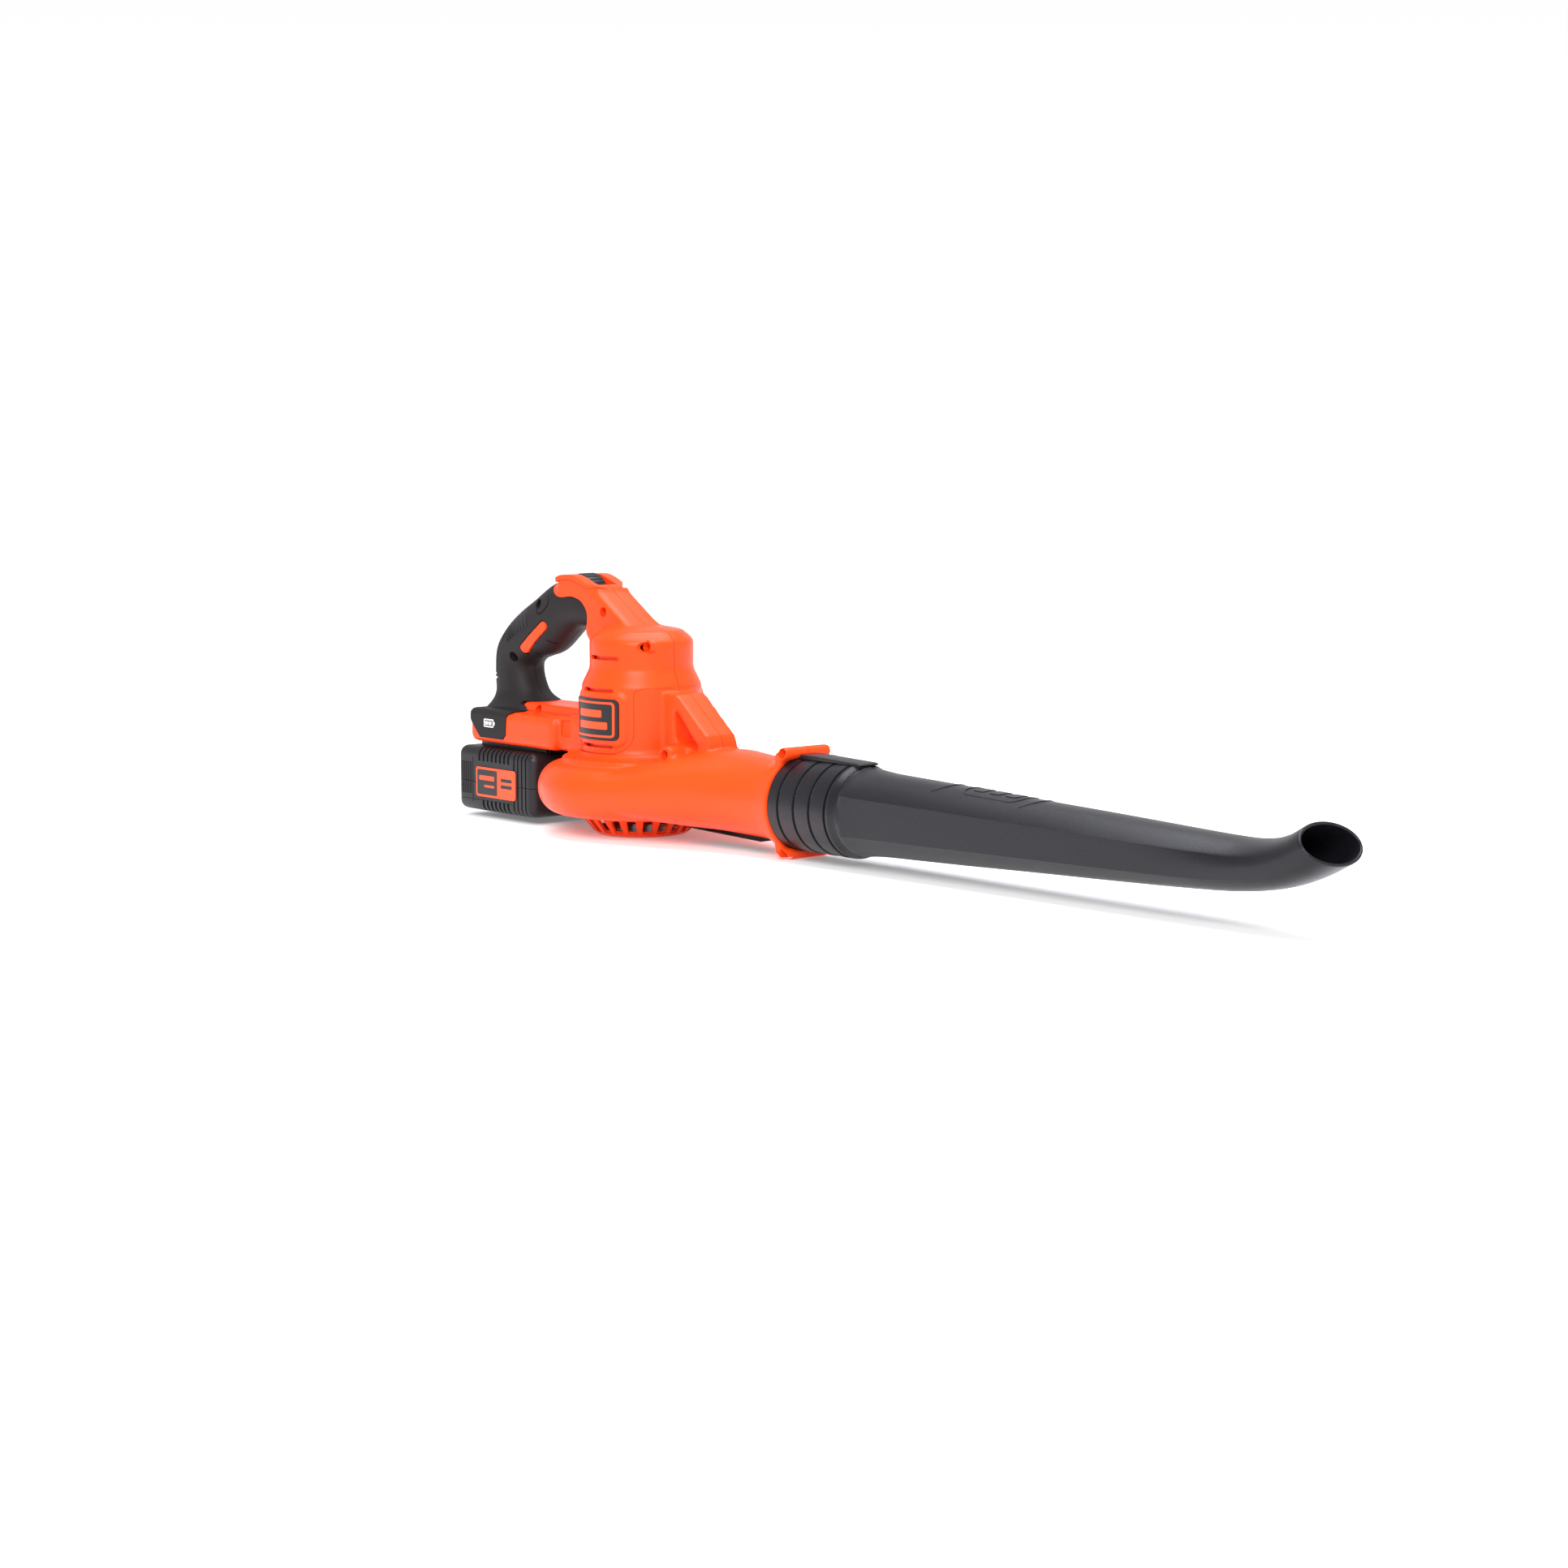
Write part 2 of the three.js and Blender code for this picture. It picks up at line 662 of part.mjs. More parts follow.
// ---------------------------------------------------------------- blower tube
const spigotStartX = nozzleEndX - spigotLength;
const collarStartX = nozzleEndX + fit;
const collarEndX = nozzleEndX + collarLength;
const tubeRun = tubeEndX - collarEndX;
const tubeRing = (share, drop, tall, wide, square, tilt = 0) => [
  collarEndX + share * tubeRun,
  nozzleZ + drop,
  tilt,
  tall,
  wide,
  square,
];
const tubeRings = [
  tubeRing(0.02, 0, 31.2, 31.8, 2.4),
  tubeRing(0.06, 0, 29.4, 30.6, 3),
  tubeRing(0.25, 0, 26.8, 29, 3),
  tubeRing(0.44, 0, 23.8, 28, 3),
  tubeRing(0.61, 0, 21.3, 27.2, 2.8),
  tubeRing(0.745, 0, 19, 27, 2.6),
  tubeRing(0.81, 0.2, 17.8, 27, 2.4, 3),
  tubeRing(0.865, 1.6, 16.6, 27, 2.2, 9),
  tubeRing(0.915, 5, 16.2, 27.2, 2.1, 18),
  tubeRing(0.96, 11.6, 16.4, 27.4, 2, 30),
  [tubeEndX, tubeEndZ, 41, 17, 27.4, 2],
];
const round = (x, radius) => [x, nozzleZ, 0, radius, radius];
const tubeOutside = loft(
  [
    round(spigotStartX, spigotR),
    round(collarStartX - 0.01, spigotR),
    round(collarStartX, collarR),
    round(collarEndX - 4, collarR),
    ...tubeRings,
  ],
  0,
  24,
);
const tubeInside = loft(
  [
    round(spigotStartX - 1, spigotR - tubeWall),
    round(collarStartX + 2, spigotR - tubeWall),
    round(collarStartX + 12, spigotR + 1.6),
    round(collarEndX - 4, spigotR + 1.6),
    ...tubeRings.map(([x, z, tilt, tall, wide, square], i) => [
      i === tubeRings.length - 1 ? x + 1.5 : x,
      i === tubeRings.length - 1 ? z + 1.3 : z,
      tilt,
      tall - tubeWall,
      wide - tubeWall,
      square,
    ]),
  ],
  0,
  24,
);
const latchFrontX = collarEndX + 2;
const latchRearX = bossX + bossR + 1;
const latchLowZ = nozzleZ + collarR - 1.5;
const latchTopZ = nozzleZ + collarR + 2;
const latchPocket = box(
  latchRearX - 2,
  latchFrontX + fit,
  -latchHalfWidth - fit,
  latchHalfWidth + fit,
  latchLowZ - latchTravel - fit,
  huge,
);
const groove = lathe(
  [
    [collarR - 0.9, 0],
    [collarR + 5, 0],
    [collarR + 5, 1.4],
    [collarR - 0.9, 1.4],
    [collarR - 0.9, 0],
  ],
  24,
).rotate([0, 90, 0]);
const grooves = [12, 29, 45.5, 62].map((x) => groove.translate([nozzleEndX + x, 0, nozzleZ]));
add("blower_tube", cut(tubeOutside, tubeInside, latchPocket, ...grooves), black);
add(
  "tube_latch",
  slab(
    [
      [latchRearX, latchLowZ],
      [latchFrontX, latchLowZ],
      [latchFrontX, latchTopZ - 1.6],
      [latchRearX, latchTopZ],
    ],
    -latchHalfWidth,
    latchHalfWidth,
    0.5,
  ),
  black,
);

// ---------------------------------------------------------------- speed dial and its switch
const dialRibs = [];
for (let i = 0; i < 24; i += 1) {
  const angle = (i * Math.PI) / 12;
  const [x, z] = [dialX + (dialR + 0.5) * Math.cos(angle), dialZ + (dialR + 0.5) * Math.sin(angle)];
  dialRibs.push(barY(0.9, x, z, -huge, huge, 6));
}
const dialAxle = barY(dialAxleR, dialX, dialZ, dialAxleEnd, dialHalfWidth + 2, 12);
const dialWheel = cut(barY(dialR, dialX, dialZ, -dialHalfWidth, dialHalfWidth, 36), ...dialRibs);
add("speed_dial", join(dialWheel, dialAxle), black);
add(
  "dial_switch",
  cut(
    box(dialX - 7, dialX + 7, dialHalfWidth + 1.2, switchOuterY, dialZ - 7, dialZ + 5),
    barY(dialAxleR + fit, dialX, dialZ, 0, dialHalfWidth + 2 + fit),
  ),
  black,
);

// ---------------------------------------------------------------- motor
const plateTopZ = plateBottomZ + plateThickness;
const bearingR = 8;
const bearingHeight = 6;
const motorBottomZ = plateTopZ + fit;
const motorTopZ = motorBottomZ + motorLength;
const motorWall = 2;
add(
  "motor_plate",
  cut(
    lathe([
      [0, plateBottomZ + fit],
      [housingR - wall - fit, plateBottomZ + fit],
      [housingR - wall - fit, plateTopZ],
      [0, plateTopZ],
    ]),
    rod(bearingR + 1, [0, 0, 0], [0, 0, 200], 20),
    ...[0, 90, 180, 270].map((degrees) =>
      rod(3, [33, 0, 0], [33, 0, 200], 10).rotate([0, 0, degrees + 45]),
    ),
  ),
  black,
);
const canFloorZ = motorBottomZ + 7;
add(
  "motor_can",
  lathe([
    [bearingR + fit, motorBottomZ],
    [motorR - 1, motorBottomZ],
    [motorR, motorBottomZ + 1],
    [motorR, motorTopZ],
    [motorR - motorWall, motorTopZ],
    [motorR - motorWall, canFloorZ + 1],
    [shaftR + 1, canFloorZ + 1],
    [shaftR + 1, canFloorZ - 0.2],
    [bearingR + fit, canFloorZ - 0.2],
    [bearingR + fit, motorBottomZ],
  ], 32),
  darkSteel,
);
const bearing = (z) =>
  lathe([
    [shaftR + fit, z],
    [bearingR, z],
    [bearingR, z + bearingHeight],
    [shaftR + fit, z + bearingHeight],
    [shaftR + fit, z],
  ], 24);
const bellBottomZ = motorTopZ + fit;
const bellHeight = 10;
add("bearing_lower", bearing(motorBottomZ + 0.3), steel);
add("bearing_upper", bearing(bellBottomZ + 2.3), steel);
add(
  "motor_end_bell",
  lathe([
    [shaftR + 1, bellBottomZ],
    [motorR, bellBottomZ],
    [motorR, bellBottomZ + 3],
    [motorR - 3, bellBottomZ + 6],
    [bearingR + 3, bellBottomZ + bellHeight],
    [bearingR + fit, bellBottomZ + bellHeight],
    [bearingR + fit, bellBottomZ + 2],
    [shaftR + 1, bellBottomZ + 2],
    [shaftR + 1, bellBottomZ],
  ], 32),
  black,
);
const magnetThickness = 3;
const magnetOuterR = motorR - motorWall - fit;
const magnetRing = ring(magnetOuterR - magnetThickness, magnetOuterR, canFloorZ + 4, motorTopZ - 6);
const magnetZone = slab([[-16, 0], [16, 0], [16, 300], [-16, 300]], 0, huge);
add("magnet_left", magnetRing.intersect(magnetZone), darkSteel);
add("magnet_right", magnetRing.intersect(mirrorY(magnetZone)), darkSteel);
const armatureR = magnetOuterR - magnetThickness - 0.8;
const armatureLowZ = canFloorZ + 6;
const armatureTopZ = motorTopZ - 12;
const windings = [];
for (let i = 0; i < 8; i += 1) {
  const slot = new THREE.BoxGeometry(8, 3, 200).translate(armatureR, 0, 100);
  windings.push(solid(slot.rotateZ((i * Math.PI) / 4)));
}
const commutatorR = 7;
add(
  "armature",
  cut(
    join(
      cut(
        lathe(
          [
            [0, armatureLowZ],
            [armatureR, armatureLowZ],
            [armatureR, armatureTopZ],
            [0, armatureTopZ],
          ],
          32,
        ),
        ...windings,
      ),
      rod(commutatorR, [0, 0, armatureTopZ - 1], [0, 0, motorTopZ - 2], 16),
    ),
    rod(shaftR + fit, [0, 0, 0], [0, 0, 200], 16),
  ),
  copper,
);
const shaftLowZ = impellerBottomZ + 1;
add(
  "motor_shaft",
  rod(shaftR, [0, 0, shaftLowZ], [0, 0, bellBottomZ + bellHeight - 1], 20),
  steel,
);

// Impeller: a hub, a back disc and straight blades.
const hubR = 9;
const discThickness = 2;
const blades = [];
for (let i = 0; i < bladeCount; i += 1) {
  const length = impellerR - hubR + 2;
  const blade = new THREE.BoxGeometry(length, 1.8, impellerTopZ - impellerBottomZ - 0.5);
  blade.translate(hubR - 1.5 + length / 2, 0, (impellerTopZ + impellerBottomZ - 0.5) / 2);
  blades.push(solid(blade.rotateZ((i * 2 * Math.PI) / bladeCount)));
}
const inletEye = lathe(
  [
    [0, impellerBottomZ - 1],
    [34, impellerBottomZ - 1],
    [22, impellerBottomZ + 12],
    [0, impellerBottomZ + 12],
  ],
  32,
);
const backDisc = lathe([
  [0, impellerTopZ - discThickness],
  [impellerR, impellerTopZ - discThickness],
  [impellerR, impellerTopZ],
  [0, impellerTopZ],
], 48);
const hub = rod(hubR, [0, 0, impellerBottomZ + 4], [0, 0, impellerTopZ + 3], 24);
const rimTrim = lathe([[0, 0], [impellerR, 0], [impellerR, 200], [0, 200]], 48);
const nutHeight = 3;
add(
  "impeller",
  cut(
    join(cut(join(...blades), inletEye), backDisc, hub).intersect(rimTrim),
    rod(shaftR + fit, [0, 0, 0], [0, 0, 200], 16),
    rod(6, [0, 0, 0], [0, 0, impellerBottomZ + 4 + nutHeight + fit], 16),
  ),
  black,
);
add(
  "impeller_nut",
  cut(
    rod(4, [0, 0, impellerBottomZ + 4], [0, 0, impellerBottomZ + 4 + nutHeight], 6),
    rod(shaftR + fit, [0, 0, 0], [0, 0, 200], 16),
  ),
  steel,
);

// ---------------------------------------------------------------- electrics
const boardZ = railSlotTopZ + 2 + 2;
const boardRearX = dockRearX + 64;
const boardFrontX = dockFrontX - 6;
add("controller_board", box(boardRearX, boardFrontX, -15, 15, boardZ, boardZ + 1.6), boardGreen);
const fins = [0, 1, 2, 3].map((i) =>
  box(boardRearX + 4, boardRearX + 22, -12 + i * 7, -10 + i * 7, boardZ + 4, boardZ + 8),
);
add(
  "heat_sink",
  join(box(boardRearX + 4, boardRearX + 22, -12, 13, boardZ + 1.6 + fit, boardZ + 4.5), ...fins),
  aluminium,
);
const bladeZ = dockBottomZ + 5.2;
const blockRearX = packFrontX + 1;
const blockFrontX = dockFrontX - 5;
const terminalBlades = [-10, 10].map((y) =>
  box(blockRearX - 14, blockFrontX - 2, y - 3.4, y + 3.4, bladeZ, bladeZ + 1),
);
const terminalSockets = [-10, 10].map((y) =>
  box(blockRearX - 14, blockFrontX - 2 + fit, y - 3.4 - fit, y + 3.4 + fit, bladeZ - fit, bladeZ + 1 + fit),
);
add(
  "terminal_block",
  cut(box(blockRearX, blockFrontX, -18, 18, dockBottomZ + 3.4, railSlotTopZ - 0.6), ...terminalSockets),
  black,
);
add("terminal_blade_negative", terminalBlades[0], brass);
add("terminal_blade_positive", terminalBlades[1], brass);

const leadR = 1.1;
const bellLeadZ = bellBottomZ + 7.5;
for (const [name, y, material] of [
  ["positive", 9, redWire],
  ["negative", -9, blackWire],
]) {
  add(
    "battery_lead_" + name,
    wire([
      [blockFrontX + leadR + 0.5, y, bladeZ],
      [blockFrontX + 4, y, bladeZ + 4],
      [blockFrontX + 5, y, boardZ - 2],
      [boardFrontX + leadR + 0.6, y, boardZ + 3],
    ], leadR, 10),
    material,
  );
  add(
    "motor_lead_" + name,
    wire([
      [boardFrontX + 6, y / 2, boardZ + 1],
      [-48, y / 2, boardZ + 3],
      [-34, y, boardZ + 12],
      [-33, y, 100],
      [-30, y, bellLeadZ],
      [-24, y, bellLeadZ + 5],
    ], leadR, 18),
    material,
  );
}
add(
  "dial_lead",
  wire([
    [dialX - 8.4, 10, dialZ - 3],
    [dialX - 18, 10, dialZ - 6],
    [dockRearX + 75, 6, dockTopZ + 74],
    [dockRearX + 50, 0, dockTopZ + 62],
    [dockRearX + 30, 0, dockTopZ + 51],
    [dockRearX + 17, 0, dockTopZ + 30],
    [dockRearX + 20, 0, dockTopZ + 10],
    [dockRearX + 34, 0, dockTopZ - 8],
    [boardRearX - 2.5, 0, boardZ + 0.8],
  ], 1, 26),
  blackWire,
);

// ---------------------------------------------------------------- battery pack
const packOutside = softBox(packRearX, packFrontX, -packHalfWidth, packHalfWidth, packBottomZ, packTopZ, 7);
const packInside = softBox(
  packRearX + packWall,
  packFrontX - packWall,
  -packHalfWidth + packWall,
  packHalfWidth - packWall,
  packBottomZ + packWall,
  packTopZ - packWall,
  5,
);
const railInnerY = 22;
const railWebY = railGapHalf - 0.4;
const railFlangeY = railSlotHalf - 0.5;
const railFrontX = slotFrontX - 1;
const rail = join(
  box(dockRearX + 1, railFrontX, railInnerY, railWebY, packTopZ - 1, railSlotTopZ - 0.5),
  box(dockRearX + 1, railFrontX, railInnerY, railFlangeY, railLipTopZ + 0.4, railSlotTopZ - 0.5),
);
const connector = cut(
  box(dockRearX + 30, railFrontX, -18, 18, packTopZ - 1, railSlotTopZ - 0.5),
  ...[-10, 10].map((y) =>
    box(blockRearX - 18, packFrontX + 1, y - 4.2, y + 4.2, bladeZ - 1, bladeZ + 2),
  ),
);
// Rear latch: a button in a well behind the dock, with a hook that reaches into the rail slot.
const buttonHalf = 14;
const hookHalf = 8;
const buttonTravel = 3.2;
const buttonRearX = packRearX + 2;
const buttonFrontX = dockRearX - 1.5;
const hookFrontX = dockRearX + 7;
const buttonLowZ = packTopZ - 3;
const wellLowZ = buttonLowZ - buttonTravel - 2.2;
const wellGap = 0.5;
const well = join(
  box(
    buttonRearX - wellGap,
    buttonFrontX + wellGap,
    -buttonHalf - wellGap,
    buttonHalf + wellGap,
    wellLowZ,
    huge,
  ),
  box(
    buttonFrontX - 1,
    hookFrontX + wellGap,
    -hookHalf - wellGap,
    hookHalf + wellGap,
    buttonLowZ - buttonTravel - wellGap,
    packTopZ + 3,
  ),
);
const wellWalls = join(
  box(
    packRearX + 1,
    buttonFrontX + wellGap + 1.5,
    -buttonHalf - 2,
    buttonHalf + 2,
    wellLowZ - 1.2,
    packTopZ - 1,
  ),
  box(
    buttonFrontX,
    hookFrontX + wellGap + 1.5,
    -hookHalf - 2,
    hookHalf + 2,
    buttonLowZ - buttonTravel - 2,
    packTopZ - 1,
  ),
);
const upperZone = box(-huge, huge, -huge, huge, packSeamZ + split, huge);
const lowerZone = box(-huge, huge, -huge, huge, -huge, packSeamZ - split);
const packShell = join(cut(packOutside, packInside), rail, mirrorY(rail), connector, wellWalls);
add("battery_case_upper", largest(cut(packShell.intersect(upperZone), well)), black);
add("battery_case_lower", packShell.intersect(lowerZone), black);
add(
  "battery_latch",
  join(
    softBox(buttonRearX, buttonFrontX, -buttonHalf, buttonHalf, buttonLowZ, packTopZ + 6, 1.2),
    box(buttonFrontX - 2, hookFrontX, -hookHalf, hookHalf, buttonLowZ + 0.5, buttonLowZ + 3),
    box(hookFrontX - 3, hookFrontX, -hookHalf, hookHalf, buttonLowZ + 0.5, packTopZ + 8),
  ),
  orange,
);
add(
  "battery_latch_spring",
  spring((buttonRearX + buttonFrontX) / 2, 0, wellLowZ + 0.3, buttonLowZ - 0.3, 2.2, 0.4, 3),
  steel,
);
for (const [name, side] of [["left", 1], ["right", -1]]) {
  const y = side * (packHalfWidth + fit + 0.4);
  const label = slab(rounded(-154, -101, 17, 40, 2), y - 0.4, y + 0.4);
  add("battery_label_" + name, label, labelBlack);
}

// Ten round cells in two rows, lying across the pack.
const cellPitch = (packFrontX - packRearX - 2 * packWall - 2 * cellR - 1) / (cellsInRow - 1);
const cellRows = [packBottomZ + packWall + cellR + 0.6, packBottomZ + packWall + cellR * 3 + 1.2];
cellRows.forEach((z, row) => {
  for (let i = 0; i < cellsInRow; i += 1) {
    const x = packRearX + packWall + cellR + 0.5 + i * cellPitch;
    const cell = barY(cellR, x, z, -cellLength / 2, cellLength / 2, 16);
    add("cell_" + (row * cellsInRow + i + 1), cell, cellWrap);
  }
});
const packBoardZ = cellRows[1] + cellR + 1;
const packBoard = box(dockRearX + 14, packFrontX - 8, -24, 24, packBoardZ, packBoardZ + 1.6);
add("battery_board", packBoard, boardGreen);

// ---------------------------------------------------------------- screws
for (const [name, x, z, depth] of screws) {
  const driver = rod(1.1, [x, -depth - 1, z], [x, -depth + 1.2, z], 6);
  add(
    "screw_" + name,
    cut(
      join(
        barY(screwHeadR, x, z, -depth, -depth + screwHeadHeight, 12),
        barY(screwR, x, z, -depth + 1, screwTip, 8),
      ),
      driver,
    ),
    steel,
  );
}

export default blower;
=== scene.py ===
# %% [markdown]
# # A cordless leaf blower in orange and black plastic
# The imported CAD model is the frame: it says where every part sits and how it moves. This lesson
# builds the surfaces that people see around that frame. The housing is moulded plastic with soft
# fillets, the tube is a faceted duct, and the grip is rubber. All sizes are worked out in
# millimetres, because that is how a designer thinks of a hand tool, and turned into metres last.

import json
import math

import bpy
import numpy as np
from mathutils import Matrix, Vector


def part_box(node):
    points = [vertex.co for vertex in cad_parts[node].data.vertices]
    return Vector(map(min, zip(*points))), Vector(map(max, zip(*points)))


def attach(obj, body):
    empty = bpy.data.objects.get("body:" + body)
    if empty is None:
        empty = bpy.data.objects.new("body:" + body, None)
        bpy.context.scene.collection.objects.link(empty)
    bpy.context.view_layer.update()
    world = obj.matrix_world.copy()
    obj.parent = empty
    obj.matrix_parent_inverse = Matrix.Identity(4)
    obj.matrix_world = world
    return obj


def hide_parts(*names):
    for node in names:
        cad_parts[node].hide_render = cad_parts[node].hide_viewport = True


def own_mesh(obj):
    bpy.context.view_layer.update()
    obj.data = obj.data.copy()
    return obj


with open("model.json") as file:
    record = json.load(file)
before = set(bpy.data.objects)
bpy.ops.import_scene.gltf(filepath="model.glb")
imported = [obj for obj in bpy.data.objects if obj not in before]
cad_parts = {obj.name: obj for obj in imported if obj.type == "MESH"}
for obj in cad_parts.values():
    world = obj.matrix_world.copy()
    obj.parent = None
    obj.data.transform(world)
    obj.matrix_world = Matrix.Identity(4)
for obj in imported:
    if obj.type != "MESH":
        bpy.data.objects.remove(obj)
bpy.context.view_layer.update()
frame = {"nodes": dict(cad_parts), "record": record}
MM = 0.001
FULL_TURN = 2 * math.pi


def millimetres(node):
    """The lowest and highest corner of a CAD node, in millimetres."""
    low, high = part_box(node)
    return [value / MM for value in low], [value / MM for value in high]


# %% [markdown]
# ## Camera, floor and light
# The object is seen from its front right, from just above the tube. A long lens from almost three
# metres keeps the perspective gentle. The floor is a wide pale disc. The world is brightest at its
# horizon and greyer overhead, so the floor runs into it without a line, as on a studio sweep, and
# the black plastic has something to reflect. A wide sun from above the camera gives soft form.

# %% Camera and stage
CAMERA_TURN = math.radians(49.5)
CAMERA_TILT = math.radians(6.7)
CAMERA_DISTANCE = 2.7986
AIM_RIGHT = 0.1071
AIM_UP = 0.0362
LENS = 85.0

right = Vector((math.cos(CAMERA_TURN), math.sin(CAMERA_TURN), 0))
ahead = Vector((-math.sin(CAMERA_TURN) * math.cos(CAMERA_TILT),
                math.cos(CAMERA_TURN) * math.cos(CAMERA_TILT), -math.sin(CAMERA_TILT)))
upward = right.cross(ahead)
aim = right * AIM_RIGHT + upward * AIM_UP

camera_data = bpy.data.cameras.new("camera")
camera_data.lens = LENS
camera_data.sensor_width = 36
camera_data.clip_end = 200
camera = bpy.data.objects.new("camera", camera_data)
bpy.context.scene.collection.objects.link(camera)
camera.location = aim - ahead * CAMERA_DISTANCE
camera.rotation_euler = ahead.to_track_quat("-Z", "Y").to_euler()
bpy.context.scene.camera = camera


def deselect():
    """Leave edit mode and select nothing: operators act on all that is selected."""
    if bpy.context.object and bpy.context.object.mode != "OBJECT":
        bpy.ops.object.mode_set(mode="OBJECT")
    bpy.ops.object.select_all(action="DESELECT")


deselect()
bpy.ops.mesh.primitive_circle_add(vertices=96, radius=40, fill_type="NGON", location=(0, 0, -0.0004))
floor = bpy.context.object
floor.name = "floor"


def area_light(name, place, target, size, power):
    """A square soft box that looks at its target."""
    data = bpy.data.lights.new(name, "AREA")
    data.size = size
    data.energy = power
    light = bpy.data.objects.new(name, data)
    bpy.context.scene.collection.objects.link(light)
    light.location = place
    light.rotation_euler = (Vector(target) - Vector(place)).to_track_quat("-Z", "Y").to_euler()
    return light


overhead = area_light("overhead", (0.15, 0.15, 1.35), (0.15, 0, 0.1), 1.3, 32)
overhead.data.color = (0.9, 0.92, 1.0)
area_light("front_light", (2.2, -0.9, 1.0), (0.1, 0, 0.08), 0.6, 6)
sun_data = bpy.data.lights.new("sun", "SUN")
sun_data.energy = 2.6
sun_data.angle = math.radians(32)
sun = bpy.data.objects.new("sun", sun_data)
bpy.context.scene.collection.objects.link(sun)
sun.rotation_euler = Vector((-0.5, 0.65, -0.55)).to_track_quat("-Z", "Y").to_euler()

world = bpy.data.worlds.new("studio")
bpy.context.scene.world = world
world.use_nodes = True
tree = world.node_tree
background = tree.nodes["Background"]
direction = tree.nodes.new("ShaderNodeTexCoord")
height = tree.nodes.new("ShaderNodeSeparateXYZ")
ramp = tree.nodes.new("ShaderNodeValToRGB")
tree.links.new(direction.outputs["Generated"], height.inputs[0])
tree.links.new(height.outputs["Z"], ramp.inputs[0])
tree.links.new(ramp.outputs["Color"], background.inputs["Color"])
for stop, (where, grey) in zip(ramp.color_ramp.elements, ((0.06, 1.0), (0.62, 0.45))):
    stop.position = where
    stop.color = (grey, grey, grey * 1.02, 1)
background.inputs["Strength"].default_value = 1.02
bpy.context.scene.view_settings.view_transform = "Standard"
print("camera at", [round(value, 3) for value in camera.location])

# %% [markdown]
# ## Shader arithmetic
# A finish is a small network of nodes. Writing it as Python expressions keeps it readable: a
# socket is wrapped in a class whose operators add Math nodes, and one method adds any other node.

# %% Socket arithmetic
class Value:
    """A shader socket that can be used in an expression."""

    def __init__(self, finish, socket):
        self.finish = finish
        self.socket = socket

    def calc(self, operation, *others):
        return self.finish.node("ShaderNodeMath", {"operation": operation}, [self, *others])

    def __add__(self, other):
        return self.calc("ADD", other)

    def __radd__(self, other):
        return self.calc("ADD", other)

    def __sub__(self, other):
        return self.calc("SUBTRACT", other)

    def __rsub__(self, other):
        return self.finish.node("ShaderNodeMath", {"operation": "SUBTRACT"}, [other, self])

    def __mul__(self, other):
        return self.calc("MULTIPLY", other)

    def __rmul__(self, other):
        return self.calc("MULTIPLY", other)

    def __truediv__(self, other):
        return self.calc("DIVIDE", other)

    def above(self, level, softness):
        """0 below the level and 1 above it, over a soft edge."""
        return ((self - level) / softness + 0.5).calc("MINIMUM", 1.0).calc("MAXIMUM", 0.0)


class Finish:
    """A material whose surface is one Principled shader."""

    def __init__(self, name, **constants):
        self.material = bpy.data.materials.new(name)
        self.material.use_nodes = True
        self.tree = self.material.node_tree
        self.shader = self.tree.nodes["Principled BSDF"]
        for key, value in constants.items():
            self.shader.inputs[key.replace("_", " ").title().replace("Ior", "IOR")].default_value = value
        self.place = self.node("ShaderNodeTexCoord", out="Object")

    def node(self, kind, settings=None, inputs=(), out=0):
        """Adds a node, sets it, feeds its sockets by order or by name and returns one output."""
        made = self.tree.nodes.new(kind)
        for key, value in (settings or {}).items():
            if key == "stops":
                for stop, (where, colour) in zip(made.color_ramp.elements, value):
                    stop.position = where
                    stop.color = colour
            else:
                setattr(made, key, value)
        pairs = inputs.items() if isinstance(inputs, dict) else enumerate(inputs)
        for key, value in pairs:
            if isinstance(value, Value):
                self.tree.links.new(value.socket, made.inputs[key])
            else:
                made.inputs[key].default_value = value
        return Value(self, made.outputs[out])

    def noise(self, scale, detail=2.0, stretch=(1, 1, 1)):
        where = self.place
        if stretch != (1, 1, 1):
            where = self.node("ShaderNodeMapping", inputs={"Vector": self.place, "Scale": stretch})
        return self.node("ShaderNodeTexNoise", inputs={"Vector": where, "Scale": scale, "Detail": detail})

    def cells(self, scale):
        return self.node("ShaderNodeTexVoronoi", inputs={"Vector": self.place, "Scale": scale})

    def blend(self, amount, first, second):
        """A colour between two colours."""
        return self.node("ShaderNodeMix", {"data_type": "RGBA"}, {0: amount, 6: first, 7: second}, out=2)

    def bump(self, height, strength, distance):
        sockets = {"Height": height, "Strength": strength, "Distance": distance}
        return self.node("ShaderNodeBump", inputs=sockets)

    def to(self, **links):
        for key, value in links.items():
            self.tree.links.new(value.socket, self.shader.inputs[key.replace("_", " ").title()])
        return self.material


def colour(red, green, blue):
    return (red, green, blue, 1.0)


def shades(tint, factor, lift=0.0):
    """A tint and the tone that it drifts to."""
    return colour(*tint), colour(*[factor * part + lift for part in tint])


# %% [markdown]
# ## The finishes
# The orange is a saturated ABS with a satin skin: its colour drifts a little, its gloss is broken
# by a fine spark-eroded texture. The black of the tube is rougher and shows mould grain and faint
# flow lines along its length. The grip is soft rubber, almost matte, with a fine pebble.

# %% Plastics and rubber
def orange_plastic():
    finish = Finish("orange_plastic", specular_ior_level=0.2)
    drift = finish.noise(9, 2)
    base = finish.blend(drift, colour(0.86, 0.050, 0.004), colour(0.92, 0.062, 0.006))
    grain = finish.noise(2600, 2)
    return finish.to(base_color=base, roughness=0.27 + 0.10 * finish.noise(60, 3) + 0.03 * grain,
                     normal=finish.bump(grain, 0.10, 0.00012))


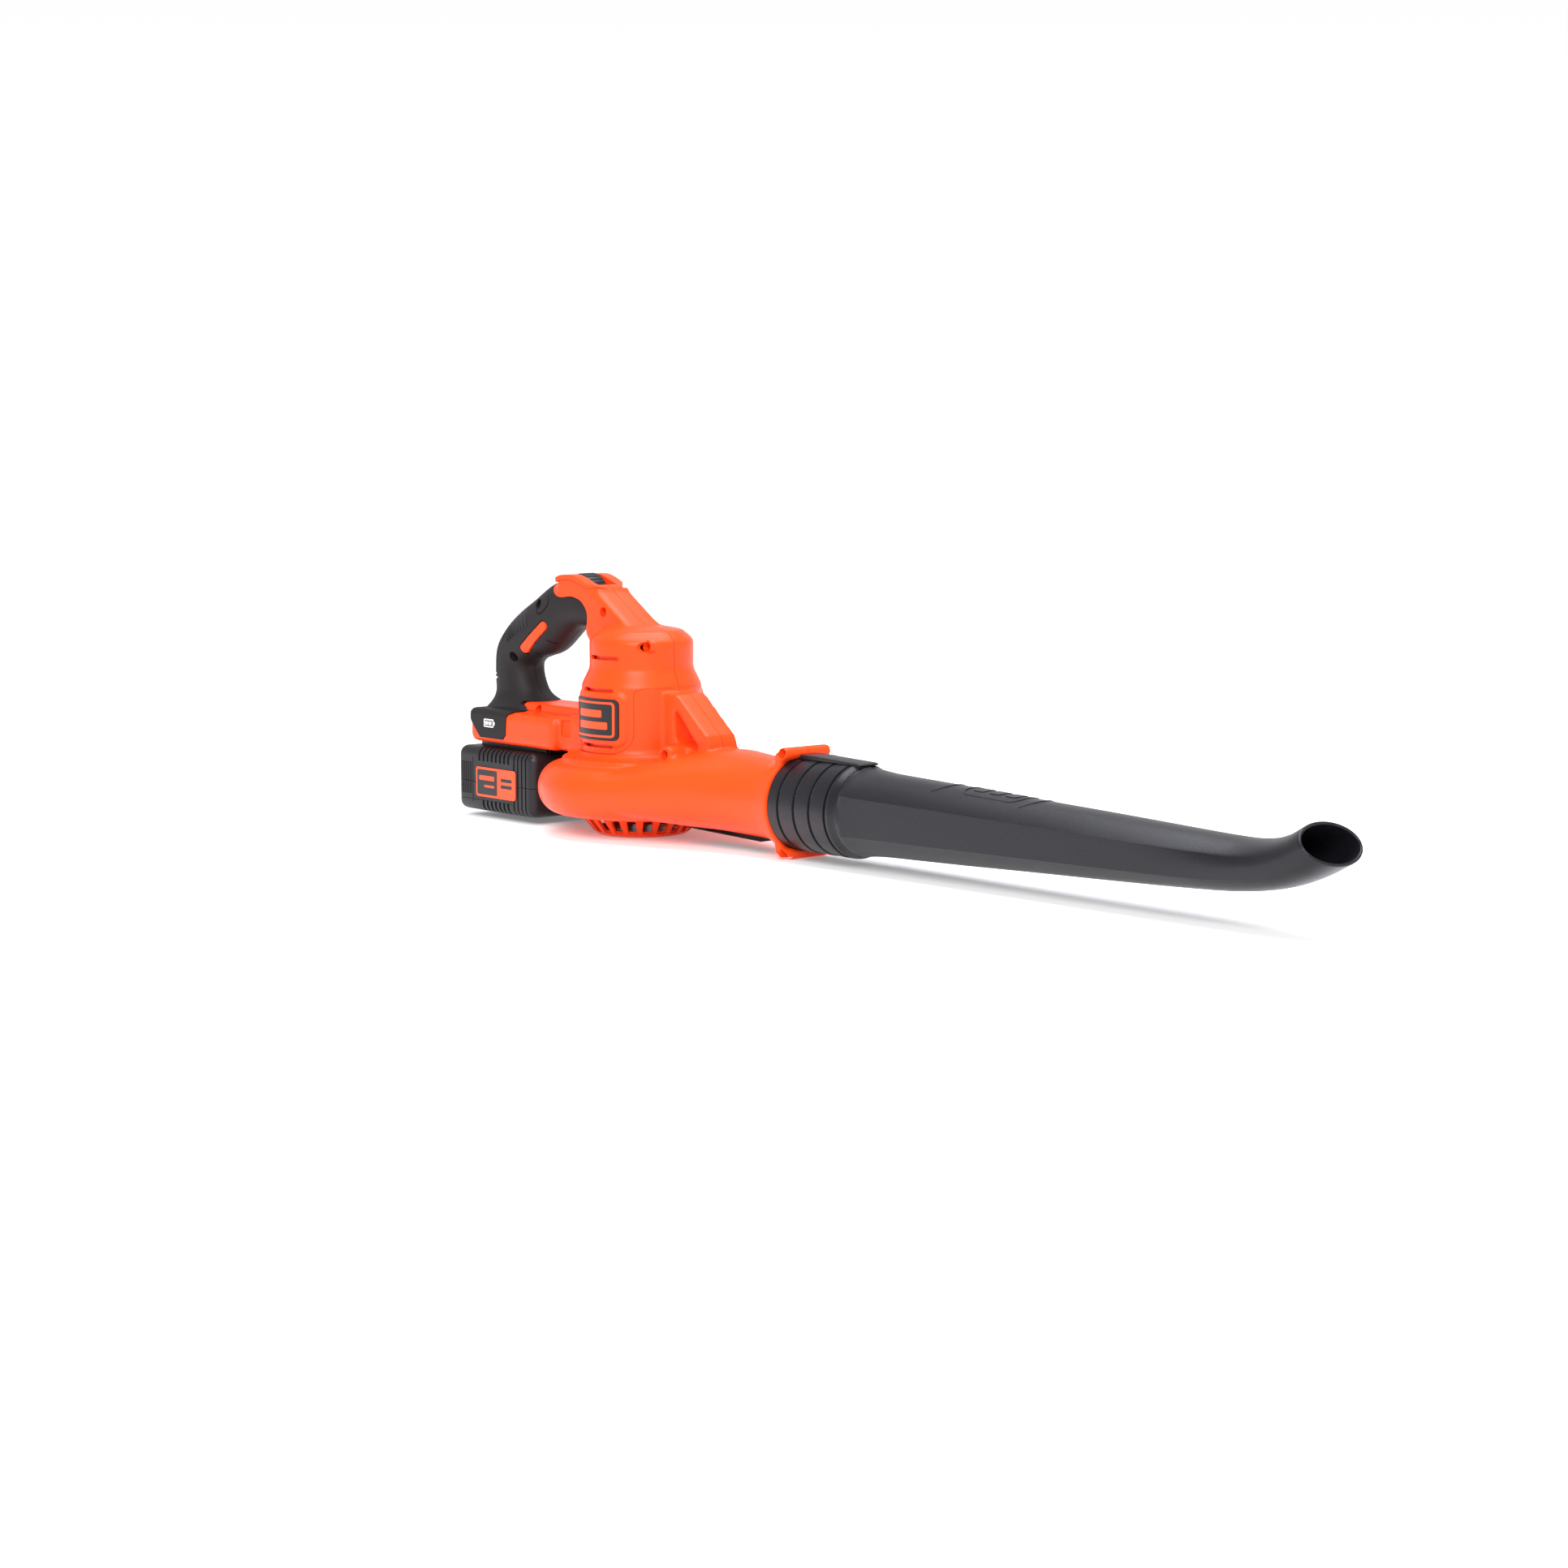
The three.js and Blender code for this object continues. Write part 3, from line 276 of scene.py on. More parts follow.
def black_plastic(name, tint, low, grain_scale, grain_depth):
    finish = Finish(name, specular_ior_level=0.28)
    flow = finish.noise(38, 3, (0.25, 1.4, 1.4))
    base = finish.blend(flow, *shades(tint, 1.5, 0.002))
    grain = finish.noise(grain_scale, 3)
    pebble = finish.cells(grain_scale * 0.6)
    return finish.to(base_color=base, roughness=low + 0.12 * flow + 0.06 * grain,
                     normal=finish.bump(grain + 0.7 * pebble, 0.35, grain_depth))


def grip_rubber():
    finish = Finish("grip_rubber", specular_ior_level=0.22)
    soft = finish.noise(26, 3)
    base = finish.blend(soft, colour(0.010, 0.0075, 0.0082), colour(0.015, 0.0115, 0.0125))
    pebble = finish.cells(1500)
    return finish.to(base_color=base, roughness=0.50 + 0.14 * soft,
                     normal=finish.bump(pebble, 0.3, 0.00015))


ORANGE = orange_plastic()
BLACK = black_plastic("black_plastic", (0.0075, 0.0072, 0.0082), 0.30, 1900, 0.00010)
TUBE_BLACK = black_plastic("tube_plastic", (0.0048, 0.0046, 0.0066), 0.24, 1400, 0.00022)
RUBBER = grip_rubber()


# %% Films, metals and small parts
def label_film(name, tint):
    finish = Finish(name, specular_ior_level=0.3, coat_weight=0.12, coat_roughness=0.25)
    smudge = finish.noise(70, 3)
    base = finish.blend(smudge, *shades(tint, 1.2, 0.003))
    return finish.to(base_color=base, roughness=0.34 + 0.14 * smudge,
                     normal=finish.bump(finish.noise(900, 2), 0.08, 0.0001))


def metal(name, tint, low, brush=(1, 1, 40), worn=0.8):
    finish = Finish(name, metallic=1.0)
    lines = finish.noise(220, 3, brush)
    base = finish.blend(lines, *shades(tint, worn))
    return finish.to(base_color=base, roughness=low + 0.2 * lines,
                     normal=finish.bump(lines, 0.15, 0.0001))


def small_plastic(name, tint, low=0.4, worn=0.75):
    finish = Finish(name)
    drift = finish.noise(120, 3)
    base = finish.blend(drift, *shades(tint, worn))
    return finish.to(base_color=base, roughness=low + 0.1 * drift,
                     normal=finish.bump(finish.noise(1500, 2), 0.15, 0.0001))


def circuit_board():
    finish = Finish("circuit_board")
    across = finish.node("ShaderNodeTexWave", {"wave_type": "BANDS", "bands_direction": "X"},
                         {"Vector": finish.place, "Scale": 190, "Distortion": 6})
    tracks = across.above(0.72, 0.1)
    base = finish.blend(tracks, colour(0.012, 0.085, 0.035), colour(0.03, 0.19, 0.08))
    return finish.to(base_color=base, roughness=0.5 - 0.15 * tracks, normal=finish.bump(tracks, 0.3, 0.0001))


LABEL = label_film("label_film", (0.006, 0.0058, 0.0065))
LABEL_ORANGE = label_film("label_orange", (0.80, 0.058, 0.006))
PALE_PRINT = label_film("pale_print", (0.62, 0.62, 0.63))
STEEL = metal("bright_steel", (0.62, 0.63, 0.65), 0.22)
DARK_STEEL = metal("dark_steel", (0.16, 0.16, 0.17), 0.35)
ALUMINIUM = metal("aluminium", (0.72, 0.73, 0.75), 0.3, (40, 1, 1))
COPPER = metal("copper", (0.62, 0.27, 0.12), 0.25, (1, 1, 60), 0.55)
BRASS = metal("brass", (0.78, 0.56, 0.22), 0.22)
RED_WIRE = small_plastic("red_wire", (0.5, 0.02, 0.015))
BLACK_WIRE = small_plastic("black_wire", (0.012, 0.012, 0.013))
CELL_WRAP = small_plastic("cell_wrap", (0.03, 0.22, 0.26), 0.25)
BOARD = circuit_board()
FLOOR = small_plastic("pale_floor", (0.93, 0.93, 0.93), 0.85, 0.985)
floor_sockets = FLOOR.node_tree.nodes["Principled BSDF"].inputs
floor_sockets["Emission Color"].default_value = (1, 1, 1, 1)
floor_sockets["Emission Strength"].default_value = 0.15
floor.data.materials.append(FLOOR)
BY_SLOT = {
    "orange_plastic": ORANGE, "black_plastic": BLACK, "grip_rubber": RUBBER, "label_film": LABEL,
    "bright_steel": STEEL, "dark_steel": DARK_STEEL, "aluminium": ALUMINIUM, "copper": COPPER,
    "brass": BRASS, "circuit_board": BOARD, "red_wire": RED_WIRE, "black_wire": BLACK_WIRE,
    "cell_wrap": CELL_WRAP,
}
for part in frame["record"]["subparts"]:
    mesh = frame["nodes"][part["node"]].data
    mesh.materials.clear()
    mesh.materials.append(BY_SLOT[part["material_slot"]])
print(len(bpy.data.materials), "materials")

# %% [markdown]
# ## Ways to make a shape
# Four starts cover every piece here. A side view is drawn as an outline and extruded across. A
# profile is spun about an axis. A grid is wrapped into a skin whose rings follow a path. A block
# or a bar is a primitive with its edges bevelled. Booleans join and cut them, and a voxel remesh
# followed by smoothing melts overlapping solids into one moulding with real fillets.

# %% Starting shapes
def activate(piece):
    deselect()
    piece.select_set(True)
    bpy.context.view_layer.objects.active = piece


def edit_all():
    """Enters edit mode on the active piece, with everything selected."""
    bpy.ops.object.mode_set(mode="EDIT")
    bpy.ops.mesh.select_all(action="SELECT")


def discard(*pieces):
    for piece in pieces:
        bpy.data.objects.remove(piece, do_unlink=True)


def soften(piece, width, segments, angle):
    """Bevels the edges that are sharper than an angle in degrees."""
    activate(piece)
    soft = piece.modifiers.new("soft", "BEVEL")
    soft.width = width * MM
    soft.segments = segments
    soft.angle_limit = math.radians(angle)
    bpy.ops.object.modifier_apply(modifier="soft")
    return piece


def turned(piece, angle, axis):
    """Turns a piece's mesh about an axis through the origin."""
    activate(piece)
    edit_all()
    bpy.ops.transform.rotate(value=angle, orient_axis=axis, center_override=(0, 0, 0))
    bpy.ops.object.mode_set(mode="OBJECT")
    return piece


def moved(piece, place):
    """Moves a piece's mesh and leaves its object at the origin."""
    activate(piece)
    piece.location = [value * MM for value in place]
    bpy.ops.object.transform_apply(location=True, rotation=False, scale=False)
    return piece


def finish_edit(name, doubles=0.00001):
    """Merge doubles, turn the faces outwards, leave edit mode and name the piece."""
    bpy.ops.mesh.select_all(action="SELECT")
    bpy.ops.mesh.remove_doubles(threshold=doubles)
    bpy.ops.mesh.normals_make_consistent(inside=False)
    bpy.ops.object.mode_set(mode="OBJECT")
    piece = bpy.context.object
    piece.name = name
    return piece


def ring_of_points(points, fill):
    """A circle primitive whose vertices are moved to the points, left in edit mode."""
    deselect()
    bpy.ops.mesh.primitive_circle_add(vertices=len(points), radius=1, fill_type=fill)
    mesh = bpy.context.object.data
    mesh.vertices.foreach_set("co", (np.array(points, float) * MM).ravel())
    mesh.update()
    edit_all()


def extruded(name, points, shift):
    ring_of_points(points, "NGON")
    bpy.ops.mesh.extrude_region_move(TRANSFORM_OT_translate={"value": [value * MM for value in shift]})
    return finish_edit(name)


def prism(name, outline, near, far):
    """A side-view outline of (x, z) points, extruded across from y = near to y = far."""
    return extruded(name, [(x, near, z) for x, z in outline], (0, far - near, 0))


def spun(name, profile, steps=96):
    """A closed outline of (radius, height) points turned about the Z axis."""
    ring_of_points([(r, 0, z) for r, z in profile], "NOTHING")
    bpy.ops.mesh.spin(steps=steps, angle=FULL_TURN, center=(0, 0, 0), axis=(0, 0, 1))
    return finish_edit(name)


def skin(name, rings, sides, place):
    """A grid wrapped into a closed skin. place turns arrays of (along 0 to 1, angle) into points."""
    deselect()
    bpy.ops.mesh.primitive_grid_add(x_subdivisions=sides, y_subdivisions=rings, size=1)
    mesh = bpy.context.object.data
    flat = np.empty(len(mesh.vertices) * 3)
    mesh.vertices.foreach_get("co", flat)
    flat = flat.reshape(-1, 3) + 0.5
    points = place(flat[:, 1], flat[:, 0] * FULL_TURN)
    mesh.vertices.foreach_set("co", (np.stack(points, 1) * MM).ravel())
    mesh.update()
    edit_all()
    bpy.ops.mesh.remove_doubles(threshold=0.00001)
    bpy.ops.mesh.fill_holes(sides=0)
    return finish_edit(name)


def block(name, low, high, bevel=0.0, segments=3):
    """A box between two corners, with rounded edges."""
    deselect()
    middle = [(a + b) / 2 * MM for a, b in zip(low, high)]
    bpy.ops.mesh.primitive_cube_add(size=1, location=middle)
    bpy.context.object.scale = [(b - a) * MM for a, b in zip(low, high)]
    bpy.ops.object.transform_apply(location=True, rotation=True, scale=True)
    edit_all()
    if bevel:
        bpy.ops.mesh.bevel(offset=bevel * MM, segments=segments, affect="EDGES")
    return finish_edit(name)


def bar(name, radius, start, end, sides=24, bevel=0.0):
    """A round bar between two points, its rims bevelled."""
    deselect()
    a, b = Vector(start) * MM, Vector(end) * MM
    bpy.ops.mesh.primitive_cylinder_add(vertices=sides, radius=radius * MM, depth=(b - a).length,
                                        location=(a + b) / 2)
    bpy.context.object.rotation_euler = (b - a).to_track_quat("Z", "Y").to_euler()
    bpy.ops.object.transform_apply(location=True, rotation=True, scale=True)
    piece = bpy.context.object
    piece.name = name
    return soften(piece, bevel, 2, 60) if bevel else piece


# %% Joining, cutting and finishing
def together(name, *parts):
    """Joins objects into one mesh without merging their surfaces."""
    activate(parts[0])
    for part in parts:
        part.select_set(True)
    if len(parts) > 1:
        bpy.ops.object.join()
    bpy.context.object.name = name
    return bpy.context.object


def boolean(piece, tool, operation, keep=False):
    activate(piece)
    modifier = piece.modifiers.new("boolean", "BOOLEAN")
    modifier.operation = operation
    modifier.solver = "MANIFOLD"
    modifier.object = tool
    bpy.ops.object.modifier_apply(modifier=modifier.name)
    if not keep:
        discard(tool)
    return piece


def cut(piece, *tools):
    for tool in tools:
        boolean(piece, tool, "DIFFERENCE")
    return piece


def copy_of(piece, name):
    """A copy with a mesh of its own."""
    made = piece.copy()
    made.data = piece.data.copy()
    made.name = name
    bpy.context.scene.collection.objects.link(made)
    return made


def melt(piece, voxel, smoothing):
    """Fuses overlapping solids into one skin and smooths it until the joins are fillets."""
    activate(piece)
    remesh = piece.modifiers.new("remesh", "REMESH")
    remesh.mode = "VOXEL"
    remesh.voxel_size = voxel * MM
    bpy.ops.object.modifier_apply(modifier="remesh")
    smooth = piece.modifiers.new("smooth", "SMOOTH")
    smooth.factor = 0.5
    smooth.iterations = smoothing
    bpy.ops.object.modifier_apply(modifier="smooth")
    return piece


def finished(piece, body, material, replaces=(), angle=40):
    """Gives a piece its finish and its shading, and tells the frame what it moves with."""
    activate(piece)
    bpy.ops.object.shade_smooth_by_angle(angle=math.radians(angle))
    piece.data.materials.clear()
    piece.data.materials.append(material)
    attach(piece, body)
    if replaces:
        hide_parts(*replaces)
    print(piece.name, len(piece.data.polygons), "faces")
    return piece


def spline(table, where):
    """Smooth values of every column of a table, at positions from 0 to 1 along its rows."""
    rows = np.array(table, float)
    slope = np.gradient(rows, axis=0)
    spot = np.clip(where, 0, 1) * (len(rows) - 1)
    first = np.minimum(spot.astype(int), len(rows) - 2)
    part = (spot - first)[:, None]
    a, b = rows[first], rows[first + 1]
    sa, sb = slope[first], slope[first + 1]
    return (a * (1 + 2 * part) * (1 - part) ** 2 + b * part ** 2 * (3 - 2 * part)
            + sa * part * (1 - part) ** 2 + sb * part ** 2 * (part - 1)).T


def smooth_line(points, count):
    """The same path with more points, rounded at its corners."""
    return [tuple(point) for point in spline(points, np.linspace(0, 1, count)).T]


def oval(angle, squareness):
    """Points of a superellipse of unit size: 2 is an ellipse and more is squarer."""
    power = 2 / squareness
    across, up = np.cos(angle), np.sin(angle)
    return np.sign(across) * np.abs(across) ** power, np.sign(up) * np.abs(up) ** power


def path_skin(name, table, rings, sides, grow=0.0, shape=None):
    """A skin along a path in the plane y = 0. Rows are x, z, direction, half height, half width,
    squareness. shape may change the half height and half width from (along, angle)."""
    def place(along, angle):
        x, z, direction, tall, wide, square = spline(table, along)
        across, up = oval(angle, square)
        across, up = across * (wide + grow), up * (tall + grow)
        if shape is not None:
            across, up = shape(along, angle, across, up)
        tilt = np.radians(direction)
        return x - up * np.sin(tilt), across, z + up * np.cos(tilt)
    return skin(name, rings, sides, place)


print("shape helpers ready")


# %% [markdown]
# ## The orange housing
# On the real tool two thin shells are moulded with generous fillets wherever the motor barrel, fan
# chamber, outlet, brace, neck and dock meet. Filleting those junctions by hand is slow, so the
# plain solids are overlapped, the holes that need soft rims are cut first, and then everything is
# melted into one skin. The crisp holes, the inside and the parting line are cut afterwards.

# %% Sizes that the housing shares with other pieces
housing_low, housing_high = millimetres("housing_right")
OUTLET_Z = 39.5
OUTLET_END = 185.0
SPLIT = 0.22             # half the gap of the parting line
BARREL_R = 45.0
SLEEVE_R = 5.2           # the rubber or plastic round a deep screw
LIP_HALF = 17.8          # half the width of the rim round the dial
SIDES = ((1, "left"), (-1, "right"))
DIAL_X, DIAL_Z, DIAL_R = -66.0, 175.8, 17.0
SCREWS = {
    "neck": (-25, 165.7, -9), "shoulder": (32, 143, -12), "strut": (66, 66, -26),
    "dock": (-103, 86.2, -14), "grip_upper": (-106.5, 167.5, -8), "grip_lower": (-140, 125, -10),
    "boss_top": (187.5, 76.6, -14), "boss_low": (187.5, 3.8, -14),
}
HANDLE = [
    (-146, 70, 96, 31, 21, 2.6), (-144, 83, 95, 29, 20, 2.6), (-149, 96, 92, 23.5, 17.5, 2.5),
    (-153, 111, 84, 20.5, 17, 2.4), (-152, 125, 66, 19.5, 17.5, 2.4), (-142, 135.5, 46, 19.2, 18.5, 2.4),
    (-128, 143.5, 32, 21, 19, 2.3), (-111, 151, 28, 22.7, 19, 2.3), (-85.5, 166.8, 30, 20.7, 18.5, 2.3),
    (-64, 170, 24, 19.5, 17, 2.3), (-46, 169, 10, 16, 15, 2.3),
]
GRIP_EDGE = [(-97, 250), (-93, 190), (-91, 181), (-85, 176), (-78, 174.2), (-66, 175.4), (-58, 174.2),
             (-52, 171.8), (-46, 165.5), (-45, 158), (-47, 145), (-50, 100)]
SADDLE = [(-34.4, 180.7), (-34.8, 183.5), (-39.5, 184.8), (-46, 186.4), (-53, 189.2), (-61, 191.5),
          (-69, 192), (-78, 191.2), (-83.5, 189.2), (-84.5, 184.8)]
print("housing spans", [round(a, 1) for a in housing_low], [round(a, 1) for a in housing_high])


# %% The outer solids
def level_skin(name, rows, rings, sides):
    """A skin along X. Rows are x, lowest z, highest z, half width, squareness."""
    table = [(x, (low + high) / 2, 0, (high - low) / 2, wide, square) for x, low, high, wide, square in rows]
    return path_skin(name, table, rings, sides)


def chamber_edge(wide, tall, steps):
    """The round edge of the fan chamber as (radius, height) points."""
    return [(61.8 + wide * math.cos(a), 35.25 + tall * math.sin(a))
            for a in np.linspace(-math.pi / 2, math.pi / 2, steps)]


def outlet_skin():
    """The duct that starts as wide as the fan chamber and ends round, ready for the tube."""
    rings = [(8, 17, 53.5, 75.8, 3), (29, 15.4, 57.3, 73.6, 2.8), (50, 14.5, 60, 66.7, 2.6),
             (68, 13.6, 64.8, 60.6, 2.45), (86, 12.8, 69, 54, 2.3), (112, 12.2, 72, 44, 2.1),
             (140, 11.1, 70.7, 36.5, 2), (165, 10.1, 70.5, 33.5, 2), (175, 6.0, 73, 33.9, 2),
             (OUTLET_END, 4, 75, 35.5, 2)]
    return level_skin("outlet", rings, 60, 96)


def housing_solids():
    barrel = spun("barrel", [(0, 30), (60, 30), (60, 58.6), (52, 59.2), (47, 61.6), (BARREL_R, 66),
                             (BARREL_R, 113), (39.1, 125), (39.1, 145.5), (36.5, 148.9), (30.6, 153.6),
                             (18, 156), (0, 156.7)])
    volute = spun("volute", [(0, 16), *chamber_edge(16.9, 19.2, 17), (47, 58.5), (0, 58.5)], 144)
    brace = prism("brace", [(30, 109), (57, 109), (61, 107), (84.5, 87.5), (93, 81), (96, 75), (96, 60),
                            (30, 60)], -14, 14)
    window = prism("window", [(56, 96), (57, 76), (59, 74), (82, 69), (84, 71), (59, 96.5)], -40, 40)
    cut(brace, window)
    neck = prism("neck", [(9, 150.7), (5.8, 156.5), (-2, 160.1), *SADDLE, (-84, 172.8), (-70, 159.3),
                          (-56, 152.3), (-48, 146.8), (-43, 139.8), (-30, 133)], -17, 17)
    activate(neck)
    edit_all()
    bpy.ops.mesh.bevel(offset=4 * MM, segments=3, affect="EDGES")
    bpy.ops.object.mode_set(mode="OBJECT")
    handle = path_skin("handle", HANDLE, 60, 64)
    shoe = block("shoe", (-169.8, -37.8, 58.5), (-61, 37.8, 84), 5)
    raised = block("raised", (-125.7, -20, 76), (-36, 20, 91), 4)
    link = block("link", (-66, -31, 58.5), (-32, 31, 86), 4)
    strut_boss = bar("strut_boss", 6.8, (66, -31, 66), (66, 31, 66), 32)
    flange_top = block("flange_top", (179.5, -22, 66), (OUTLET_END, 22, 76.6), 1)
    flange_low = block("flange_low", (179.5, -22, 4.2), (OUTLET_END, 22, 16), 1)
    lug_top = bar("lug_top", 4.7, (187.5, -22, 76.2), (187.5, 22, 76.2), 32, 0.8)
    lug_low = bar("lug_low", 4.4, (187.5, -22, 4.4), (187.5, 22, 4.4), 32, 0.8)
    return together("housing", barrel, volute, outlet_skin(), brace, neck, handle, shoe, raised, link,
                    strut_boss, flange_top, flange_low, lug_top, lug_low)


def dial_room():
    well = bar("dial_well", DIAL_R + 1.3, (DIAL_X, -8.8, DIAL_Z), (DIAL_X, 8.8, DIAL_Z), 64)
    trough = block("dial_trough", (DIAL_X - 4, -8.8, DIAL_Z + 5), (DIAL_X + 25.3, 8.8, DIAL_Z + 40), 1)
    return boolean(well, trough, "UNION")


def rounded(x0, x1, z0, z1, radius, steps=6):
    """A side-view rectangle with round corners."""
    points = []
    for corner, (x, z) in enumerate([(x1, z1), (x0, z1), (x0, z0), (x1, z0)]):
        for step in range(steps + 1):
            angle = (corner + step / steps) * math.pi / 2
            middle_x = x1 - radius if x == x1 else x0 + radius
            middle_z = z1 - radius if z == z1 else z0 + radius
            points.append((middle_x + radius * math.cos(angle), middle_z + radius * math.sin(angle)))
    return points


def barrel_plate(name, inner, outer, outline, near, far):
    """A plate bent round the motor barrel: a ring cut to a side-view outline."""
    plate = spun(name, [(inner, 55), (outer, 55), (outer, 125), (inner, 125)], 160)
    return boolean(plate, prism("plate_edge", outline, near, far), "INTERSECT")


housing = housing_solids()
for side in (-1, 1):
    pad = barrel_plate("pad", 40, 46.9, rounded(-28, 28, 69.6, 108.5, 7), side * 80, 0)
    housing = together("housing", housing, pad)
melt(housing, 1.5, 7)
print("melted housing:", len(housing.data.polygons), "faces")


def plan(name, outline, low, high):
    """A top-view outline of (x, y) points between two heights."""
    return extruded(name, [(x, y, low) for x, y in outline], (0, 0, high - low))


def saddle_lip():
    """The raised rim round the dial: a band under the saddle's top edge, round in front."""
    edge = smooth_line(SADDLE[1:-1], 33)
    low_edge = [(x + 0.4, z - 3.4) for x, z in reversed(edge)]
    band = prism("lip", edge + low_edge, -LIP_HALF, LIP_HALF)
    nose = [(-34.4 - 11.5 * (abs(y) / LIP_HALF) ** 2.6, y) for y in np.linspace(-LIP_HALF, LIP_HALF, 25)]
    boolean(band, plan("lip_plan", [(-83.6, LIP_HALF), (-83.6, -LIP_HALF)] + nose, 170, 200), "INTERSECT")
    return soften(band, 0.7, 2, 50)


nose_left = [(-33.6 - 11.5 * (abs(y) / 17) ** 2.6, y) for y in np.linspace(0, 17.2, 13)]
for side in (-1, 1):
    corner = [(x, side * y) for x, y in nose_left] + [(-46, side * 30), (-20, side * 30), (-20, 0)]
    cut(housing, plan("saddle_corner", corner, 182.2, 220))
boolean(housing, saddle_lip(), "UNION")

# %% Crisp holes, the inside and the parting line
def strip(path, width):
    """The outline of a narrow band that follows a side-view path."""
    points = np.array(path, float)
    along = np.gradient(points, axis=0)
    aside = np.stack([-along[:, 1], along[:, 0]], 1) / np.linalg.norm(along, axis=1)[:, None]
    edge = np.concatenate([points + aside * width / 2, (points - aside * width / 2)[::-1]])
    return [tuple(point) for point in edge]


def screw_room(name, grow):
    x, z, depth = SCREWS[name]
    head = bar("screw_head_room", 3.5 + grow, (x, -90, z), (x, depth + 2.5, z), 32)
    shank = bar("screw_shank_room", 1.4 + grow, (x, depth, z), (x, 12.3, z), 16)
    return boolean(head, shank, "UNION")


def panel_groove(side):
    def bend(x, z, radius, start, end):
        return [(x + radius * math.cos(a), z + radius * math.sin(a)) for a in np.linspace(start, end, 8)]

    path = [(48, 112.6), (40, 112.5), *bend(36.5, 107.5, 5, math.pi / 2, math.pi), (31.5, 95), (31.5, 84),
            *bend(16.5, 78.5, 15, 0, -math.pi / 2), (0, 63.4), (-34, 63.4)]
    groove = prism("panel_groove", strip(path, 0.9), side * 60, side * 6)
    zone = spun("groove_zone", [(44.45, 60), (60, 60), (60, 118), (44.45, 118)], 96)
    return boolean(groove, zone, "INTERSECT")


def inside_tools():
    chamber = spun("chamber", [(0, 18.4), *chamber_edge(14.6, 16.8, 9), (40, 52.1), (40, 55), (42.6, 55),
                               (42.6, 112.3), (36.7, 124.3), (36.7, 144), (30.1, 150.7), (0, 152.7)], 64)
    rings = [(8, 19.4, 51.1, 73.2, 3), (50, 16.9, 57.6, 64.3, 2.6), (86, 15.2, 66.6, 51.6, 2.3),
             (112, 14.6, 69.6, 41.6, 2.1), (139, 13.6, 68.2, 34.2, 2)]
    airway = level_skin("airway", rings, 24, 64)
    bore = bar("bore", 27.1, (138, 0, OUTLET_Z), (200, 0, OUTLET_Z), 96)
    collar_room = bar("collar_room", 34.3, (OUTLET_END, 0, OUTLET_Z), (205, 0, OUTLET_Z), 96)
    intake = bar("intake", 45.3, (0, 0, 8), (0, 0, 19.5), 96)
    slot_wide = block("slot_wide", (-190, -31, 61.2), (-84, 31, 67.2))
    slot_gap = block("slot_gap", (-190, -26.8, 50), (-84, 26.8, 66))
    terminals = block("terminals", (-86, -20, 61.5), (-65, 20, 67))
    axle = bar("axle", 2.3, (DIAL_X, -13.9, DIAL_Z), (DIAL_X, 13, DIAL_Z), 24)
    return [chamber, airway, bore, collar_room, intake, slot_wide, slot_gap, terminals, axle, dial_room()]


cut(housing, *inside_tools())
boolean(housing, bar("shoulder_post", SLEEVE_R, (32, -20, 143), (32, 14, 143), 32), "UNION")
for name in SCREWS:
    cut(housing, screw_room(name, 0.35))
for name in ("grip_upper", "grip_lower"):
    x, z, depth = SCREWS[name]
    cut(housing, bar("sleeve_room", 5.5, (x, -90, z), (x, depth + 1, z), 32))
for height in (134, 110.5, 69):
    for side in (-1, 1):
        slot = rounded(-14.5, 18.5, height - 1.5, height + 1.5, 1.4, 4)
        cut(housing, prism("vent", slot, side * 60, side * 34))
for side in (-1, 1):
    cut(housing, panel_groove(side))
    edge = sorted([side * 29.4, side * 40])
    cut(housing, block("link_recess", (-59, edge[0], 70), (-47.5, edge[1], 82.5), 1))


def grip_zone(name, clear):
    """The side-view region that the rubber covers."""
    edge = [(x + clear, z + clear) for x, z in smooth_line(GRIP_EDGE, 67)]
    return prism(name, [(-400, 54)] + [(-400, 250)] + edge + [(-60, 54)], -60, 60)


def behind(name, clear):
    """The space behind the dock's rear face and behind the foot of the grip."""
    edge = [(-170.6, 0), (-170.6, 87), (-171.6, 93), (-174.5, 103), (-180.4, 112), (-180.4, 130)]
    return prism(name, [(x + clear, z) for x, z in edge] + [(-400, 130), (-400, 0)], -70, 70)


rubber_room = grip_zone("rubber_room", 0.25)
core = cut(path_skin("core", HANDLE, 60, 48, -3), behind("behind_core", 2.7))
cut(rubber_room, copy_of(core, "core_copy"))
shoe_keep = block("shoe_keep", (-180, -50, 40), (-30, 50, 84.6))
cut(rubber_room, shoe_keep)
raised_keep = block("raised_keep", (-125.7, -20.2, 80), (-36, 20.2, 91.2))
cut(rubber_room, raised_keep)
cut(housing, rubber_room, behind("behind_shell", 0.6))


def bumper_cover(name, side, grow, skin_depth):
    """The black cover over the rear corner of the dock, outside the dock's own core."""
    points = [(-180, 79.5 - grow), (-170, 78.6 - grow), (-157.5 - grow, 65.5), (-154.5, 62.6 - grow),
              (-125.5, 62.6 - grow), (-122 + grow, 66), (-121 + grow, 80), (-119.5 + grow, 82.6),
              (-116 + grow, 84.3), (-112 + grow, 90), (-180, 90)]
    cover = block(name, (-170.7 - grow, -38.5 - grow, 50), (-100, 38.5 + grow, 84.9 + grow), 5.2, 4)
    boolean(cover, prism("cover_edge", points, side * 0.1, side * 60), "INTERSECT")
    inner = 38 - skin_depth
    return cut(cover, block("dock_core", (-170 + skin_depth, -inner, 0), (-90, inner, 84 - skin_depth), 2))


